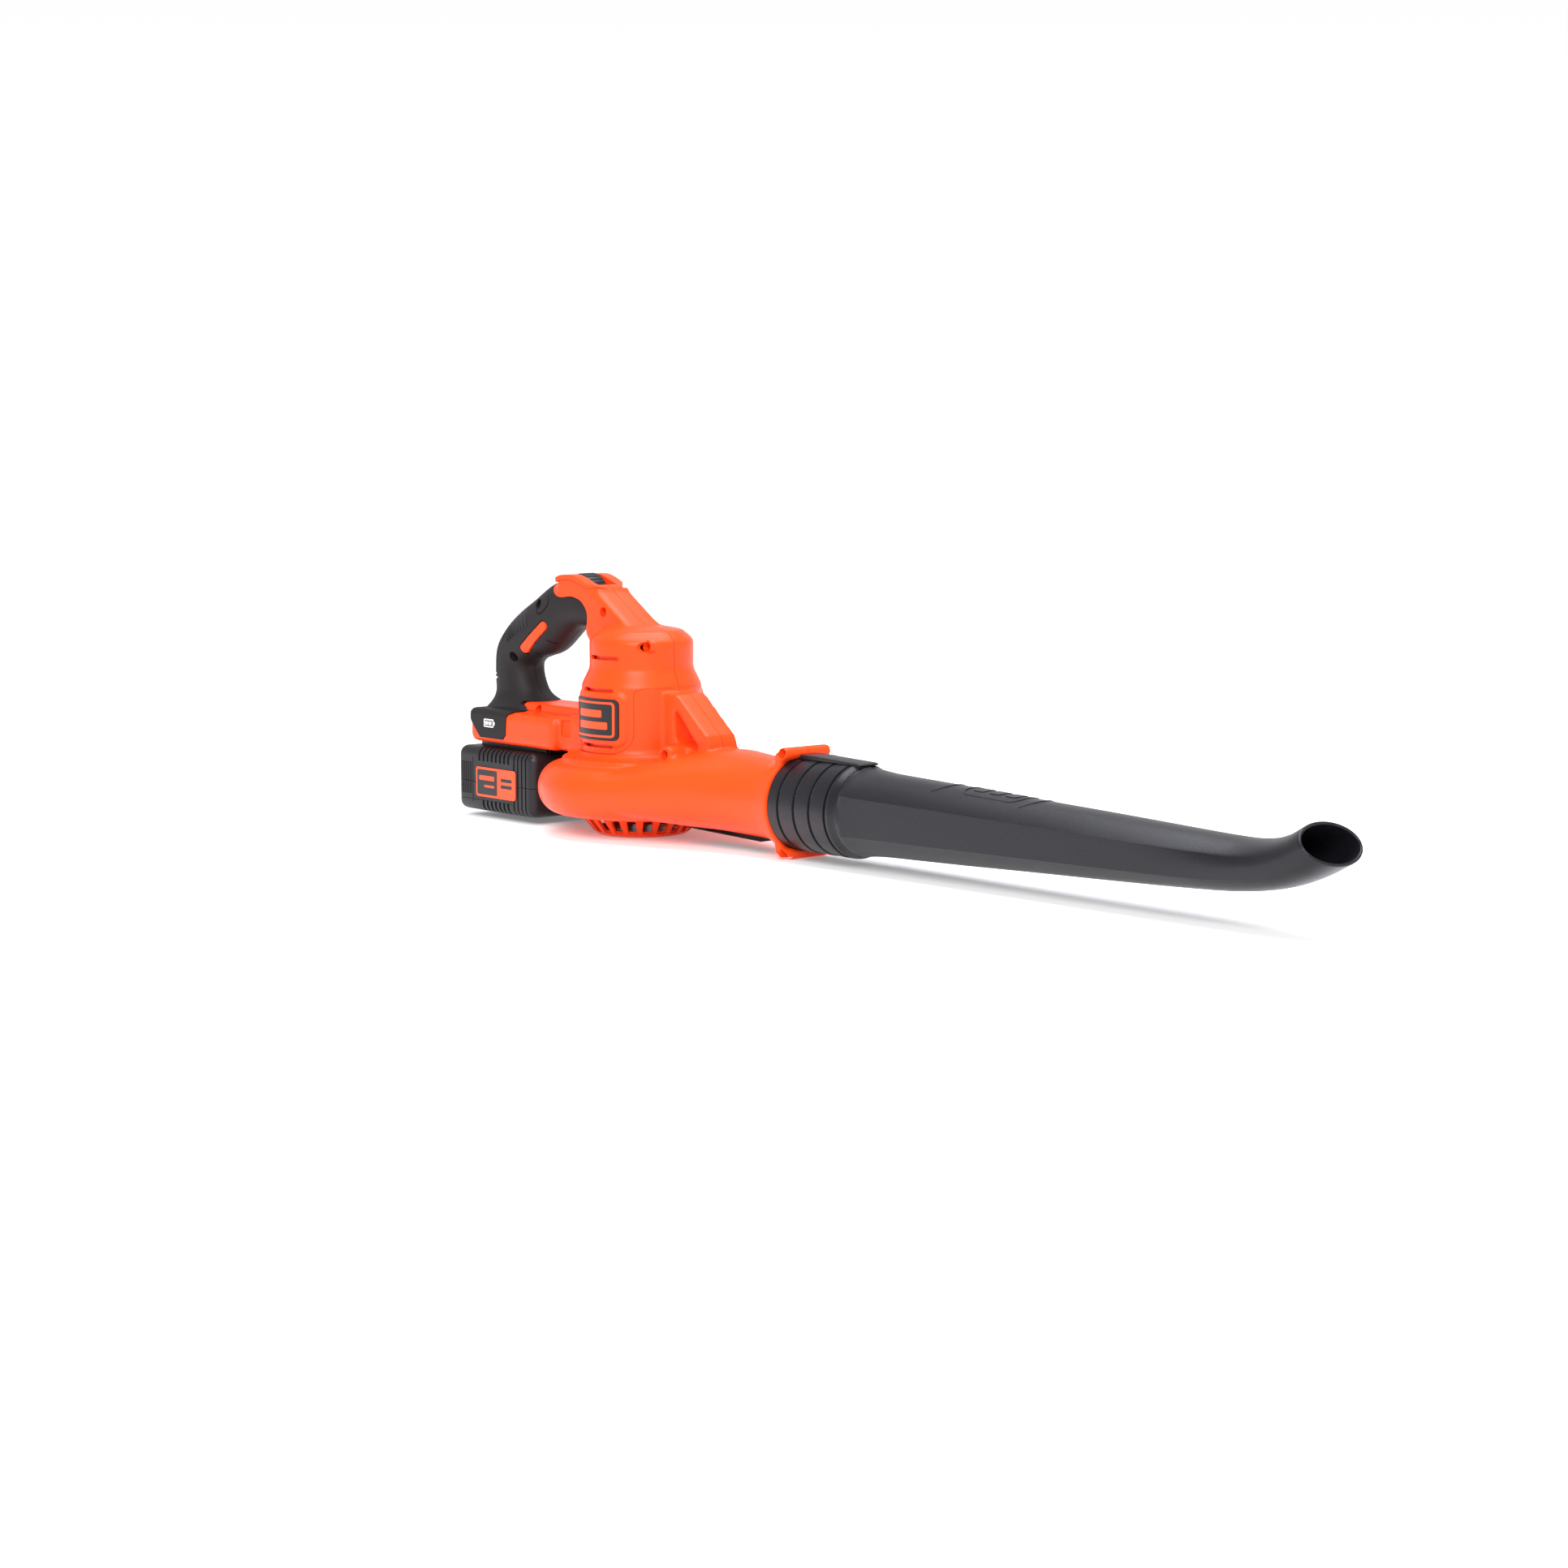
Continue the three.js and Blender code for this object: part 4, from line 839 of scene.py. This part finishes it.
for side in (-1, 1):
    seat = bumper_cover("bumper_seat", side, 0.25, 2.35)
    boolean(seat, core, "DIFFERENCE", keep=True)
    cut(housing, seat)
print("cut housing:", len(housing.data.polygons), "faces")


def half(piece, name, side):
    made = copy_of(piece, name)
    edge = sorted([side * SPLIT, side * 200])
    return boolean(made, block("half_space", (-300, edge[0], -50), (400, edge[1], 300)), "INTERSECT")


for side, name in SIDES:
    shell = half(housing, "shell_" + name, side)
    finished(shell, "blower_body", ORANGE, ["housing_" + name], 35)
discard(housing, core)

# %% [markdown]
# ## Baffles behind the vents
# Each vent slot opens on an orange strip just inside the wall, so the motor doesn't show through it.
# The strip is a spun ring with a small ledge, and a block keeps only the part behind the slots.

# %% Baffles
def baffle(z0, z1, outer, side):
    """A bent strip inside the wall, hung on a short ledge, that hides the motor from the vents."""
    profile = [(outer - 2.6, z0), (outer - 1.2, z0), (outer - 1.2, z1 - 1.2), (outer, z1 - 1.2), (outer, z1),
               (outer - 2.6, z1)]
    sector = block("sector", (-19, min(0, side * 60), 0), (22, max(0, side * 60), 200))
    return boolean(spun("baffle", profile, 96), sector, "INTERSECT")


for side, name in SIDES:
    strips = [baffle(64.5, 74, 42.5, side), baffle(106, 112, 42.5, side), baffle(129.5, 140, 36.6, side)]
    finished(together("vent_baffle_" + name, *strips), "blower_body", ORANGE, [], 35)

# %% [markdown]
# ## The rubber grip
# The grip is soft rubber moulded over the handle, with ribs for the fingers' heel, a textured palm
# patch and an orange stripe let into each flank. The surface is a skin that follows the handle, and
# the ribs are pushed into it as a function of how far along and how far round a point is. That
# keeps every rib square to the handle, which a row of flat cutters would not do.

# %% Grip surface
def ramp(value, start, end):
    """0 at the start and 1 at the end, with a soft shoulder at both."""
    share = np.clip((value - start) / (end - start), 0, 1)
    return share * share * (3 - 2 * share)


def inside_band(value, low, high, soft):
    return ramp(value, low - soft, low + soft) * (1 - ramp(value, high - soft, high + soft))


def grip_relief(along, angle, across, up):
    """Depth pressed into the rubber, turned into a change of section."""
    outer = np.sin(angle)
    ribs = inside_band(along, 0.485, 0.675, 0.004) * inside_band(outer, 0.08, 0.985, 0.03)
    wave = 0.5 - 0.5 * np.cos((along - 0.485) / 0.19 * 8 * FULL_TURN)
    depth = 2.1 * ribs * np.clip(1.7 * wave - 0.35, 0, 1)
    patch = inside_band(along, 0.29, 0.475, 0.003) * ramp(outer, 0.36, 0.40)
    edge = inside_band(along, 0.283, 0.482, 0.003) * ramp(outer, 0.30, 0.34)
    weave = np.sin(along * 460) * np.sin(angle * 42)
    depth = depth + 0.8 * (edge - patch) + 0.4 * patch * (0.5 + 0.5 * weave)
    notch = np.exp(-((along - 0.268) / 0.0045) ** 2) * ramp(outer, 0.2, 0.5)
    depth = depth + 1.6 * notch
    flare = 7.5 * np.clip((0.225 - along) / 0.1, 0, 1) ** 2
    reach = np.hypot(across, up)
    share = (reach + flare - depth) / reach
    return across * share, up * share


grip_skin = path_skin("grip_skin", HANDLE, 300, 176, 0, grip_relief)
under_skin = path_skin("under_skin", HANDLE, 60, 96, -1.3)


def flank_tool(name, outline, side, proud=None):
    """A cutter or inlay on the flank of the grip, bounded inside by a skin 1.3 mm deep."""
    tool = prism(name, outline, side * 8, side * 40)
    if proud is not None:
        boolean(tool, path_skin("proud_skin", HANDLE, 60, 96, proud), "INTERSECT")
    return boolean(tool, under_skin, "DIFFERENCE", keep=True)


def capsule(start, end, radius, steps=10):
    """A side-view outline with round ends, from one point to another."""
    lean = math.atan2(end[1] - start[1], end[0] - start[0])
    turns = [lean - math.pi / 2 + math.pi * step / steps for step in range(steps + 1)]
    front = [(end[0] + radius * math.cos(a), end[1] + radius * math.sin(a)) for a in turns]
    back = [(start[0] - radius * math.cos(a), start[1] - radius * math.sin(a)) for a in turns]
    return front + back


# The ends of the stripe's axis, and the fine groove lines on each flank, as (x, z) points.
STRIPE = ((-125.6, 132), (-98.4, 151.4))
LINES = [
    [(-108.3, 165.4), (-106.3, 161.5), (-101.7, 160.6), (-93.7, 166.3), (-91.9, 170.6), (-93.6, 175.1)],
    [(-99.3, 140.4), (-92.1, 136.4), (-81.6, 133.1), (-77.0, 132.4)],
    [(-117.4, 129.3), (-111.4, 126.4), (-102.1, 124.8)],
]
for side, name in SIDES:
    zone = grip_zone("zone", 0)
    cut(zone, block("dock_space", (-122, -60, 40), (-30, 60, 84.7)))
    cut(zone, block("raised_space", (-126.0, -20.4, 70), (-30, 20.4, 91.4)))
    cut(zone, block("low_space", (-400, -60, 0), (-100, 60, 82.2)))
    cut(zone, behind("behind_grip", 0))
    whole = boolean(copy_of(grip_skin, "grip"), zone, "INTERSECT")
    grip = half(whole, "grip_" + name + "_rubber", side)
    discard(whole)
    boolean(grip, bumper_cover("bumper", side, 0, 2.1), "UNION")
    cut(grip, cut(path_skin("core_room", HANDLE, 60, 64, -2.7), behind("behind_room", 2.4)))
    cut(grip, flank_tool("stripe_slot", capsule(*STRIPE, 4.4), side))
    for path in LINES:
        cut(grip, flank_tool("line", strip(smooth_line(path, 15), 0.8), side))
    if side < 0:
        for screw in ("grip_upper", "grip_lower"):
            x, z, depth = SCREWS[screw]
            sleeve = bar("sleeve", SLEEVE_R, (x, -30, z), (x, depth + 0.6, z), 32)
            boolean(sleeve, under_skin, "INTERSECT", keep=True)
            boolean(grip, sleeve, "UNION")
            cut(grip, screw_room(screw, 0.4))
    finished(grip, "blower_body", RUBBER, ["grip_" + name], 30)
    stripe = flank_tool("grip_stripe_" + name, capsule(*STRIPE, 3.3), side, 0.35)
    finished(stripe, "blower_body", ORANGE, [], 30)
discard(grip_skin, under_skin)

# %% [markdown]
# ## Badge, mark and intake grille
# The badge is a black plate bent round the motor barrel, with a raised orange line inside its edge
# and two plain bars. Bending a flat plate would work too, but cutting a ring to the plate's
# outline gives the right curve for free. The grille is a spun bowl with slots cut round it.

# %% Badges
for side, name in SIDES:
    reach = side * 80

    def plate(title, outline, inner=46.9, outer=48.1):
        return barrel_plate(title, inner, outer, outline, reach, 0)

    badge = plate("badge_plate_" + name, rounded(-24, 24, 73.6, 104.5, 4.2))
    finished(badge, "blower_body", LABEL, ["badge_" + name], 35)
    line = plate("badge_line", rounded(-21.8, 21.8, 75.8, 102.3, 3), 47.6, 48.45)
    cut(line, plate("line_inner", rounded(-20.2, 20.2, 77.4, 100.7, 1.8), 47, 49))
    bars = [plate("bar", rounded(low, high, z, z + 5.4, 1), 47.6, 48.4)
            for low, high, z in ((-16, 11, 90.6), (-16, 16, 81.8))]
    finished(together("badge_trim_" + name, line, *bars), "blower_body", LABEL_ORANGE, [], 35)

# %% Intake grille
def around(piece, count):
    """Copies of a piece turned about the Z axis and joined."""
    copies = [piece]
    for index in range(1, count):
        copies.append(turned(copy_of(piece, "copy"), FULL_TURN * index / count, "Z"))
    return together(piece.name, *copies)


bowl = spun("grille", [(0, 0), (31.5, 0), (34, 0.5), (36, 1.8), (44.2, 11.6), (45, 13.6), (45, 18.6),
                       (47.9, 18.6), (47.9, 20.6), (42.7, 20.6), (42.7, 14), (33.6, 2.4), (0, 2.4)], 132)
slot_tool = block("slot", (35.2, -3.6, 2.8), (60, 3.6, 13.2), 1.0, 2)
cut(bowl, around(slot_tool, 22))
floor_slot = block("floor_slot", (16, -2.4, -4), (28, 2.4, 6), 1.0, 2)
cut(bowl, around(floor_slot, 8))
finished(bowl, "blower_body", ORANGE, ["intake_grille"], 35)

# %% [markdown]
# ## The blower tube
# The tube plugs into the outlet with a round spigot. In front of it a ringed collar carries the
# latch, and then the duct turns from round to a section with a flat flank and a crease above and
# below it, and back to an oval at the upturned mouth. Inside and outside are one closed skin that
# turns over at the rim, so the lip is round without any bevel.

# %% Duct
TUBE = [
    (246, 39.5, 0, 32.4, 32.4, 0.0), (253, 39.5, 0, 32.2, 32.3, 0.0), (257.5, 39.5, 0, 31.8, 32.1, 0.06),
    (262, 39.5, 0, 31.0, 31.5, 1), (281, 39.5, 0, 29.4, 30.6, 1), (321, 39.5, 0, 28.1, 29.8, 1),
    (362, 39.5, 0, 26.8, 29, 1),
    (402, 39.5, 0, 25.3, 28.5, 1), (443, 39.5, 0, 23.8, 28, 1), (480, 39.5, 0, 22.6, 27.6, 1),
    (516, 39.5, 0, 21.3, 27.2, 1), (545, 39.5, 0, 20.2, 27.1, 0.95), (574, 39.6, 0.5, 19, 27, 0.8),
    (601.7, 40.0, 3, 17.8, 27, 0.5), (625, 41.4, 9, 16.7, 27, 0.25), (646.6, 45, 19, 16.2, 27.2, 0.08),
    (665.5, 51.4, 31, 16.3, 27.35, 0), (682.2, 60.0, 41, 17, 27.4, 0),
]


def faceted(angle, tall, wide, facet):
    """An oval at facet 0, and at 1 a section with flat flanks between two creases."""
    turn = np.mod(angle, FULL_TURN)
    right_side = np.where(np.cos(turn) >= 0, 1.0, -1.0)
    lift = np.arcsin(np.clip(np.sin(turn), -1, 1))
    crease = 0.42
    edge_up, edge_low = 0.46, 0.47
    share = np.clip((np.abs(lift) - crease) / (math.pi / 2 - crease), 0, 1)
    level = np.where(lift > 0, edge_up, edge_low) * tall
    flat_y = wide * np.cos(share * math.pi / 2)
    flat_z = np.where(np.abs(lift) < crease, np.abs(lift) / crease * level,
                      level + (tall - level) * (1 - np.clip(flat_y / wide, 0, 1) ** 2.15))
    round_y, round_z = wide * np.cos(lift), tall * np.abs(np.sin(lift))
    y = right_side * (facet * flat_y + (1 - facet) * round_y)
    z = np.sign(lift) * (facet * flat_z + (1 - facet) * round_z)
    return y, z


def duct_point(share, angle, grow, advance):
    x, z, tilt, tall, wide, facet = spline(TUBE, share)
    across, up = faceted(angle, tall + grow, wide + grow, np.clip(facet, 0, 1))
    lean = np.radians(tilt)
    return (x - up * np.sin(lean) + advance * np.cos(lean), across,
            z + up * np.cos(lean) + advance * np.sin(lean))


def duct(name, rings=230, sides=144, wall=2.4):
    """Outside from rear to mouth, over the rounded rim, and back inside."""
    lip = [math.pi * step / 8 for step in range(9)]
    stations = [0.0] + [0.62 + 0.03 * step / 8 for step in range(9)] + [1.0]
    shares = [0.0] + [1.0] * 9 + [0.12]
    grows = [0.0] + [-wall / 2 * (1 - math.cos(a)) for a in lip] + [-wall]
    advances = [0.0] + [wall / 2 * math.sin(a) for a in lip] + [0.0]

    def place(along, angle):
        return duct_point(np.interp(along, stations, shares), angle,
                          np.interp(along, stations, grows), np.interp(along, stations, advances))
    return skin(name, rings, sides, place)


def lying(piece, start_x):
    """Turns a piece spun about Z onto the outlet axis, its start at start_x."""
    turned(piece, -math.pi / 2, "Y")
    if sum(vertex.co.x for vertex in piece.data.vertices) < 0:
        turned(piece, math.pi, "Y")
    return moved(piece, (start_x, 0, OUTLET_Z))


def collar_profile():
    points = [(24.4, 0), (26.4, 0), (26.8, 1), (26.8, 45.3), (33.2, 45.3), (33.7, 45.9)]
    for groove in (57, 74, 90.5, 107):
        points += [(33.95, groove - 6), (33.9, groove - 1.3), (32.4, groove - 0.8), (31.9, groove),
                   (32.4, groove + 0.6), (33.6, groove + 1.1)]
    points += [(33.9, 109.5), (33.7, 111), (32.6, 113.5), (32.2, 116)]
    points += [(28.4, 116), (28.4, 58), (24.4, 48)]
    return points


tube = duct("tube")
collar = lying(spun("collar", collar_profile(), 144), 140)
bore_front = bar("bore_front", 28.4, (230, 0, OUTLET_Z), (263, 0, OUTLET_Z), 144)
cut(tube, bore_front)
boolean(tube, collar, "UNION")
cut(tube, block("latch_pocket", (190, -9.3, 70), (257.3, 9.3, 120), 0.4))
print("tube:", len(tube.data.polygons), "faces")


def raised_mark():
    """A plain rounded frame with three bars, moulded on the top of the duct."""
    frame_ring = plan("frame", rounded(362, 418, -13.5, 13.5, 8), 50, 80)
    cut(frame_ring, plan("frame_inner", rounded(363.8, 416.2, -11.7, 11.7, 6.4), 40, 90))
    bars = [plan("bar", rounded(x, x + 11, -6.5, 6.5, 2), 50, 80) for x in (369, 384.5, 400)]
    arcs = []
    for x in (338, 424):
        path = [(x + 9 * (1 - (y / 17) ** 2), y) for y in np.linspace(-17, 17, 21)]
        arcs.append(plan("arc", strip(path, 0.9), 50, 80))
    mark = together("mark", frame_ring, *bars, *arcs)

    def place(along, angle):
        return duct_point(0.1 + 0.55 * along, angle, 0.45, 0.0)
    return boolean(mark, skin("mark_skin", 120, 144, place), "INTERSECT")


boolean(tube, raised_mark(), "UNION")
finished(tube, "tube", TUBE_BLACK, ["blower_tube"], 22)

# %% Latch tab
tab_outline = [(193, 72), (257, 72), (257, 73.4), (254, 74.0), (214, 75.2), (211, 75.5), (193, 75.5)]
tab = prism("tab", tab_outline, -9, 9)
soften(tab, 0.7, 3, 40)
finished(tab, "tube_tab", BLACK, ["tube_latch"], 30)

# %% [markdown]
# ## The speed dial
# A thumb wheel with a fluted rim sits in the saddle and turns on an axle. The flutes are cut by
# bars set round the rim, so each rib keeps the round outline of the wheel.

# %% Dial
wheel_profile = [(0, -7.8), (14.2, -7.8), (15.6, -7.5), (16.6, -6.6), (16.9, -5.6), (16.9, 5.6), (16.6, 6.6),
                 (15.6, 7.5), (14.2, 7.8), (0, 7.8)]
wheel = spun("wheel", wheel_profile, 120)
flute = bar("flute", 1.0, (17.3, 0, -12), (17.3, 0, 12), 12)
cut(wheel, around(flute, 30))
for height in (-7.8, 7.8):
    dish = bar("dish", 11.5, (0, 0, height - 0.9), (0, 0, height + 0.9), 64)
    cut(wheel, dish)
axle = bar("axle", 2.0, (0, 0, -10), (0, 0, 13.4), 24)
boolean(wheel, axle, "UNION")
turned(wheel, math.pi / 2, "X")
if sum(vertex.co.y for vertex in wheel.data.vertices if abs(vertex.co.y) > 0.009) > 0:
    turned(wheel, math.pi, "Z")
moved(wheel, (DIAL_X, 0, DIAL_Z))
finished(wheel, "dial", BLACK, ["speed_dial"], 30)

# %% [markdown]
# ## The battery pack
# The pack is two black cases that meet on a seam. Grooves wrap round its corners: bands near the
# front, short ribs on the upper and lower edges and a fine gripping patch at the rear. Each groove
# is a slab with a slightly smaller pack taken out of it, so its depth is even round every corner.
# The side labels are thin films with raised plain bars, and the release button has a hooked arm.

# %% Pack cases
PACK_LOW, PACK_HIGH = (-180.5, -42, 5), (-81.5, 42, 55)


def pack_body(name, inset, bevel):
    return block(name, [a + inset for a in PACK_LOW], [a - inset for a in PACK_HIGH], bevel, 6)


def wrap(slabs, depth):
    """Slabs less a smaller pack: grooves of even depth."""
    return cut(together("grooves", *slabs), pack_body("inner_pack", depth, 7 - depth))


def both_sides(low, high):
    return [block("slab", (low[0], -60, low[2]), (high[0], -low[1], high[2])),
            block("slab", (low[0], low[1], low[2]), (high[0], 60, high[2]))]


pack = pack_body("pack", 0, 7)
bands = [slab for x in (-106.5, -101.5, -96.5, -91.5) for slab in both_sides((x, 33, -5), (x + 1.5, 60, 65))]
cut(pack, wrap(bands, 1.1))
top_ribs = [slab for x in np.arange(-152, -113, 5.4) for slab in both_sides((x, 30, 44.5), (x + 2.3, 60, 65))]
cut(pack, wrap(top_ribs, 1.3))
low_ribs = [slab for x in np.arange(-147, -114, 5.4) for slab in both_sides((x, 30, -5), (x + 2.3, 60, 14))]
cut(pack, wrap(low_ribs, 1.3))
side_line = both_sides((-180.4, 36, 13.9), (-107, 60, 14.6))
cut(pack, wrap(side_line, 0.6))
fine = [slab for x in np.arange(-177.6, -161, 1.75) for slab in both_sides((x, 36, 18), (x + 0.8, 60, 43))]
cut(pack, wrap(fine, 0.6))
cut(pack, wrap(both_sides((-159.6, 36, 12), (-158.9, 60, 47)), 0.5))
cut(pack, block("hollow", (-178.3, -39.8, 7.2), (-83.7, 39.8, 52.8), 5, 2))


def rails():
    parts = []
    for side in (-1, 1):
        web, lip = sorted([side * 22, side * 26.4]), sorted([side * 22, side * 30.5])
        parts.append(block("web", (-169, web[0], 53.5), (-85, web[1], 66.7), 0.4, 2))
        parts.append(block("lip", (-169, lip[0], 61.6), (-85, lip[1], 66.7), 0.4, 2))
    socket = block("socket", (-140, -18, 53.5), (-85, 18, 66.7), 0.6, 2)
    for y in (-10, 10):
        cut(socket, block("contact_slot", (-98.5, y - 4.2, 62.7), (-80, y + 4.2, 65.7)))
    for y in (-13, -6.5, 0, 6.5, 13):
        cut(socket, block("rib_gap", (-136, y - 2.2, 65.4), (-103, y + 2.2, 70)))
    return parts + [socket]


pack_wall = block("button_wall", (-179.5, -16, 45.4), (-169.5, 16, 54))
boolean(pack, pack_wall, "UNION")
for part in rails():
    boolean(pack, part, "UNION")
cut(pack, block("button_well", (-179, -14.5, 46.6), (-171, 14.5, 80)))
cut(pack, block("hook_well", (-172.5, -8.5, 48.3), (-162.5, 8.5, 60)))
for name, low_z, high_z, node in (("pack_case_upper", 28.18, 100, "battery_case_upper"),
                                  ("pack_case_lower", -20, 27.82, "battery_case_lower")):
    case = copy_of(pack, name)
    boolean(case, block("case_space", (-300, -100, low_z), (100, 100, high_z)), "INTERSECT")
    finished(case, "battery", BLACK, [node], 30)
discard(pack)

# %% Pack labels and release button
for side, name in SIDES:
    def film(title, x0, x1, z0, z1, radius, low, high):
        return prism(title, rounded(x0, x1, z0, z1, radius, 4), side * low, side * high)

    base = film("pack_label_" + name, -154, -103, 17, 40, 2.4, 42.15, 43.0)
    finished(base, "battery", LABEL_ORANGE, ["battery_label_" + name], 30)
    field = film("field", -152.2, -126.5, 18.8, 38.2, 1.2, 42.8, 43.12)
    marks = [film("bar", -121.5, -107.5, z, z + 2.6, 0.8, 42.8, 43.12) for z in (30.4, 25.4)]
    finished(together("pack_field_" + name, field, *marks), "battery", LABEL, [], 30)
    bars = [film("bar", -149.5, -130, 30, 33.6, 0.8, 42.9, 43.22),
            film("bar", -143, -130, 24.6, 26.4, 0.6, 42.9, 43.22)]
    finished(together("pack_bars_" + name, *bars), "battery", LABEL_ORANGE, [], 30)

button = block("button", (-178.4, -13.9, 52.1), (-171.6, 13.9, 60.9), 1.4, 3)
for y in range(-10, 11, 4):
    cut(button, block("button_groove", (-180, y - 0.7, 57), (-177.6, y + 0.7, 59.6)))
boolean(button, block("hook_arm", (-173.5, -7.9, 52.6), (-163.1, 7.9, 54.9), 0.3, 1), "UNION")
boolean(button, block("hook", (-165.9, -7.9, 52.6), (-163.1, 7.9, 62.9), 0.3, 1), "UNION")
finished(button, "battery_button", ORANGE, ["battery_latch"], 30)

# %% [markdown]
# ## The button's spring
# A coil spring holds the release button up, and it gets shorter as the button goes down. Wrapping a
# grid round a helix gives the wire.

# %% Spring
spring_low, spring_high = millimetres("battery_latch_spring")
spring_x = (spring_low[0] + spring_high[0]) / 2
spring_rise = spring_high[2] - spring_low[2]


def coil(along, angle):
    """Three turns of round wire."""
    turn = along * 3 * FULL_TURN
    reach = 2.2 + 0.4 * np.cos(angle)
    lift = 0.4 + along * (spring_rise - 0.8) + 0.4 * np.sin(angle)
    return spring_x + reach * np.cos(turn), reach * np.sin(turn), spring_low[2] + lift


spring = finished(skin("button_spring", 90, 10, coil), "battery", STEEL,
                  ["battery_latch_spring"], 60)
spring_x * MM
spring_low[2] * MM
(spring_rise - 3.5) / spring_rise
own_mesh(spring)
print("spring rises", round(spring_rise, 2), "mm")

# %% [markdown]
# ## The mark on the dock
# A pale battery sign in a shallow frame stands where a maker would print the voltage.

# %% Dock mark
for side, name in SIDES:
    def sign(title, x0, x1, z0, z1, radius):
        return prism(title, rounded(x0, x1, z0, z1, radius, 4), side * 38.4, side * 38.75)

    outer = sign("dock_sign_" + name, -149, -136.5, 71, 77.4, 1)
    cut(outer, prism("gap", rounded(-148, -137.5, 72, 76.4, 0.5, 4), side * 30, side * 45))
    sign_parts = [outer, sign("nub", -136.4, -135, 73, 75.4, 0.3),
                  sign("fill", -147.2, -143.6, 72.8, 75.6, 0.3),
                  sign("fill", -142.8, -139.2, 72.8, 75.6, 0.3)]
    finished(together("dock_sign_" + name, *sign_parts), "blower_body", PALE_PRINT, [], 30)
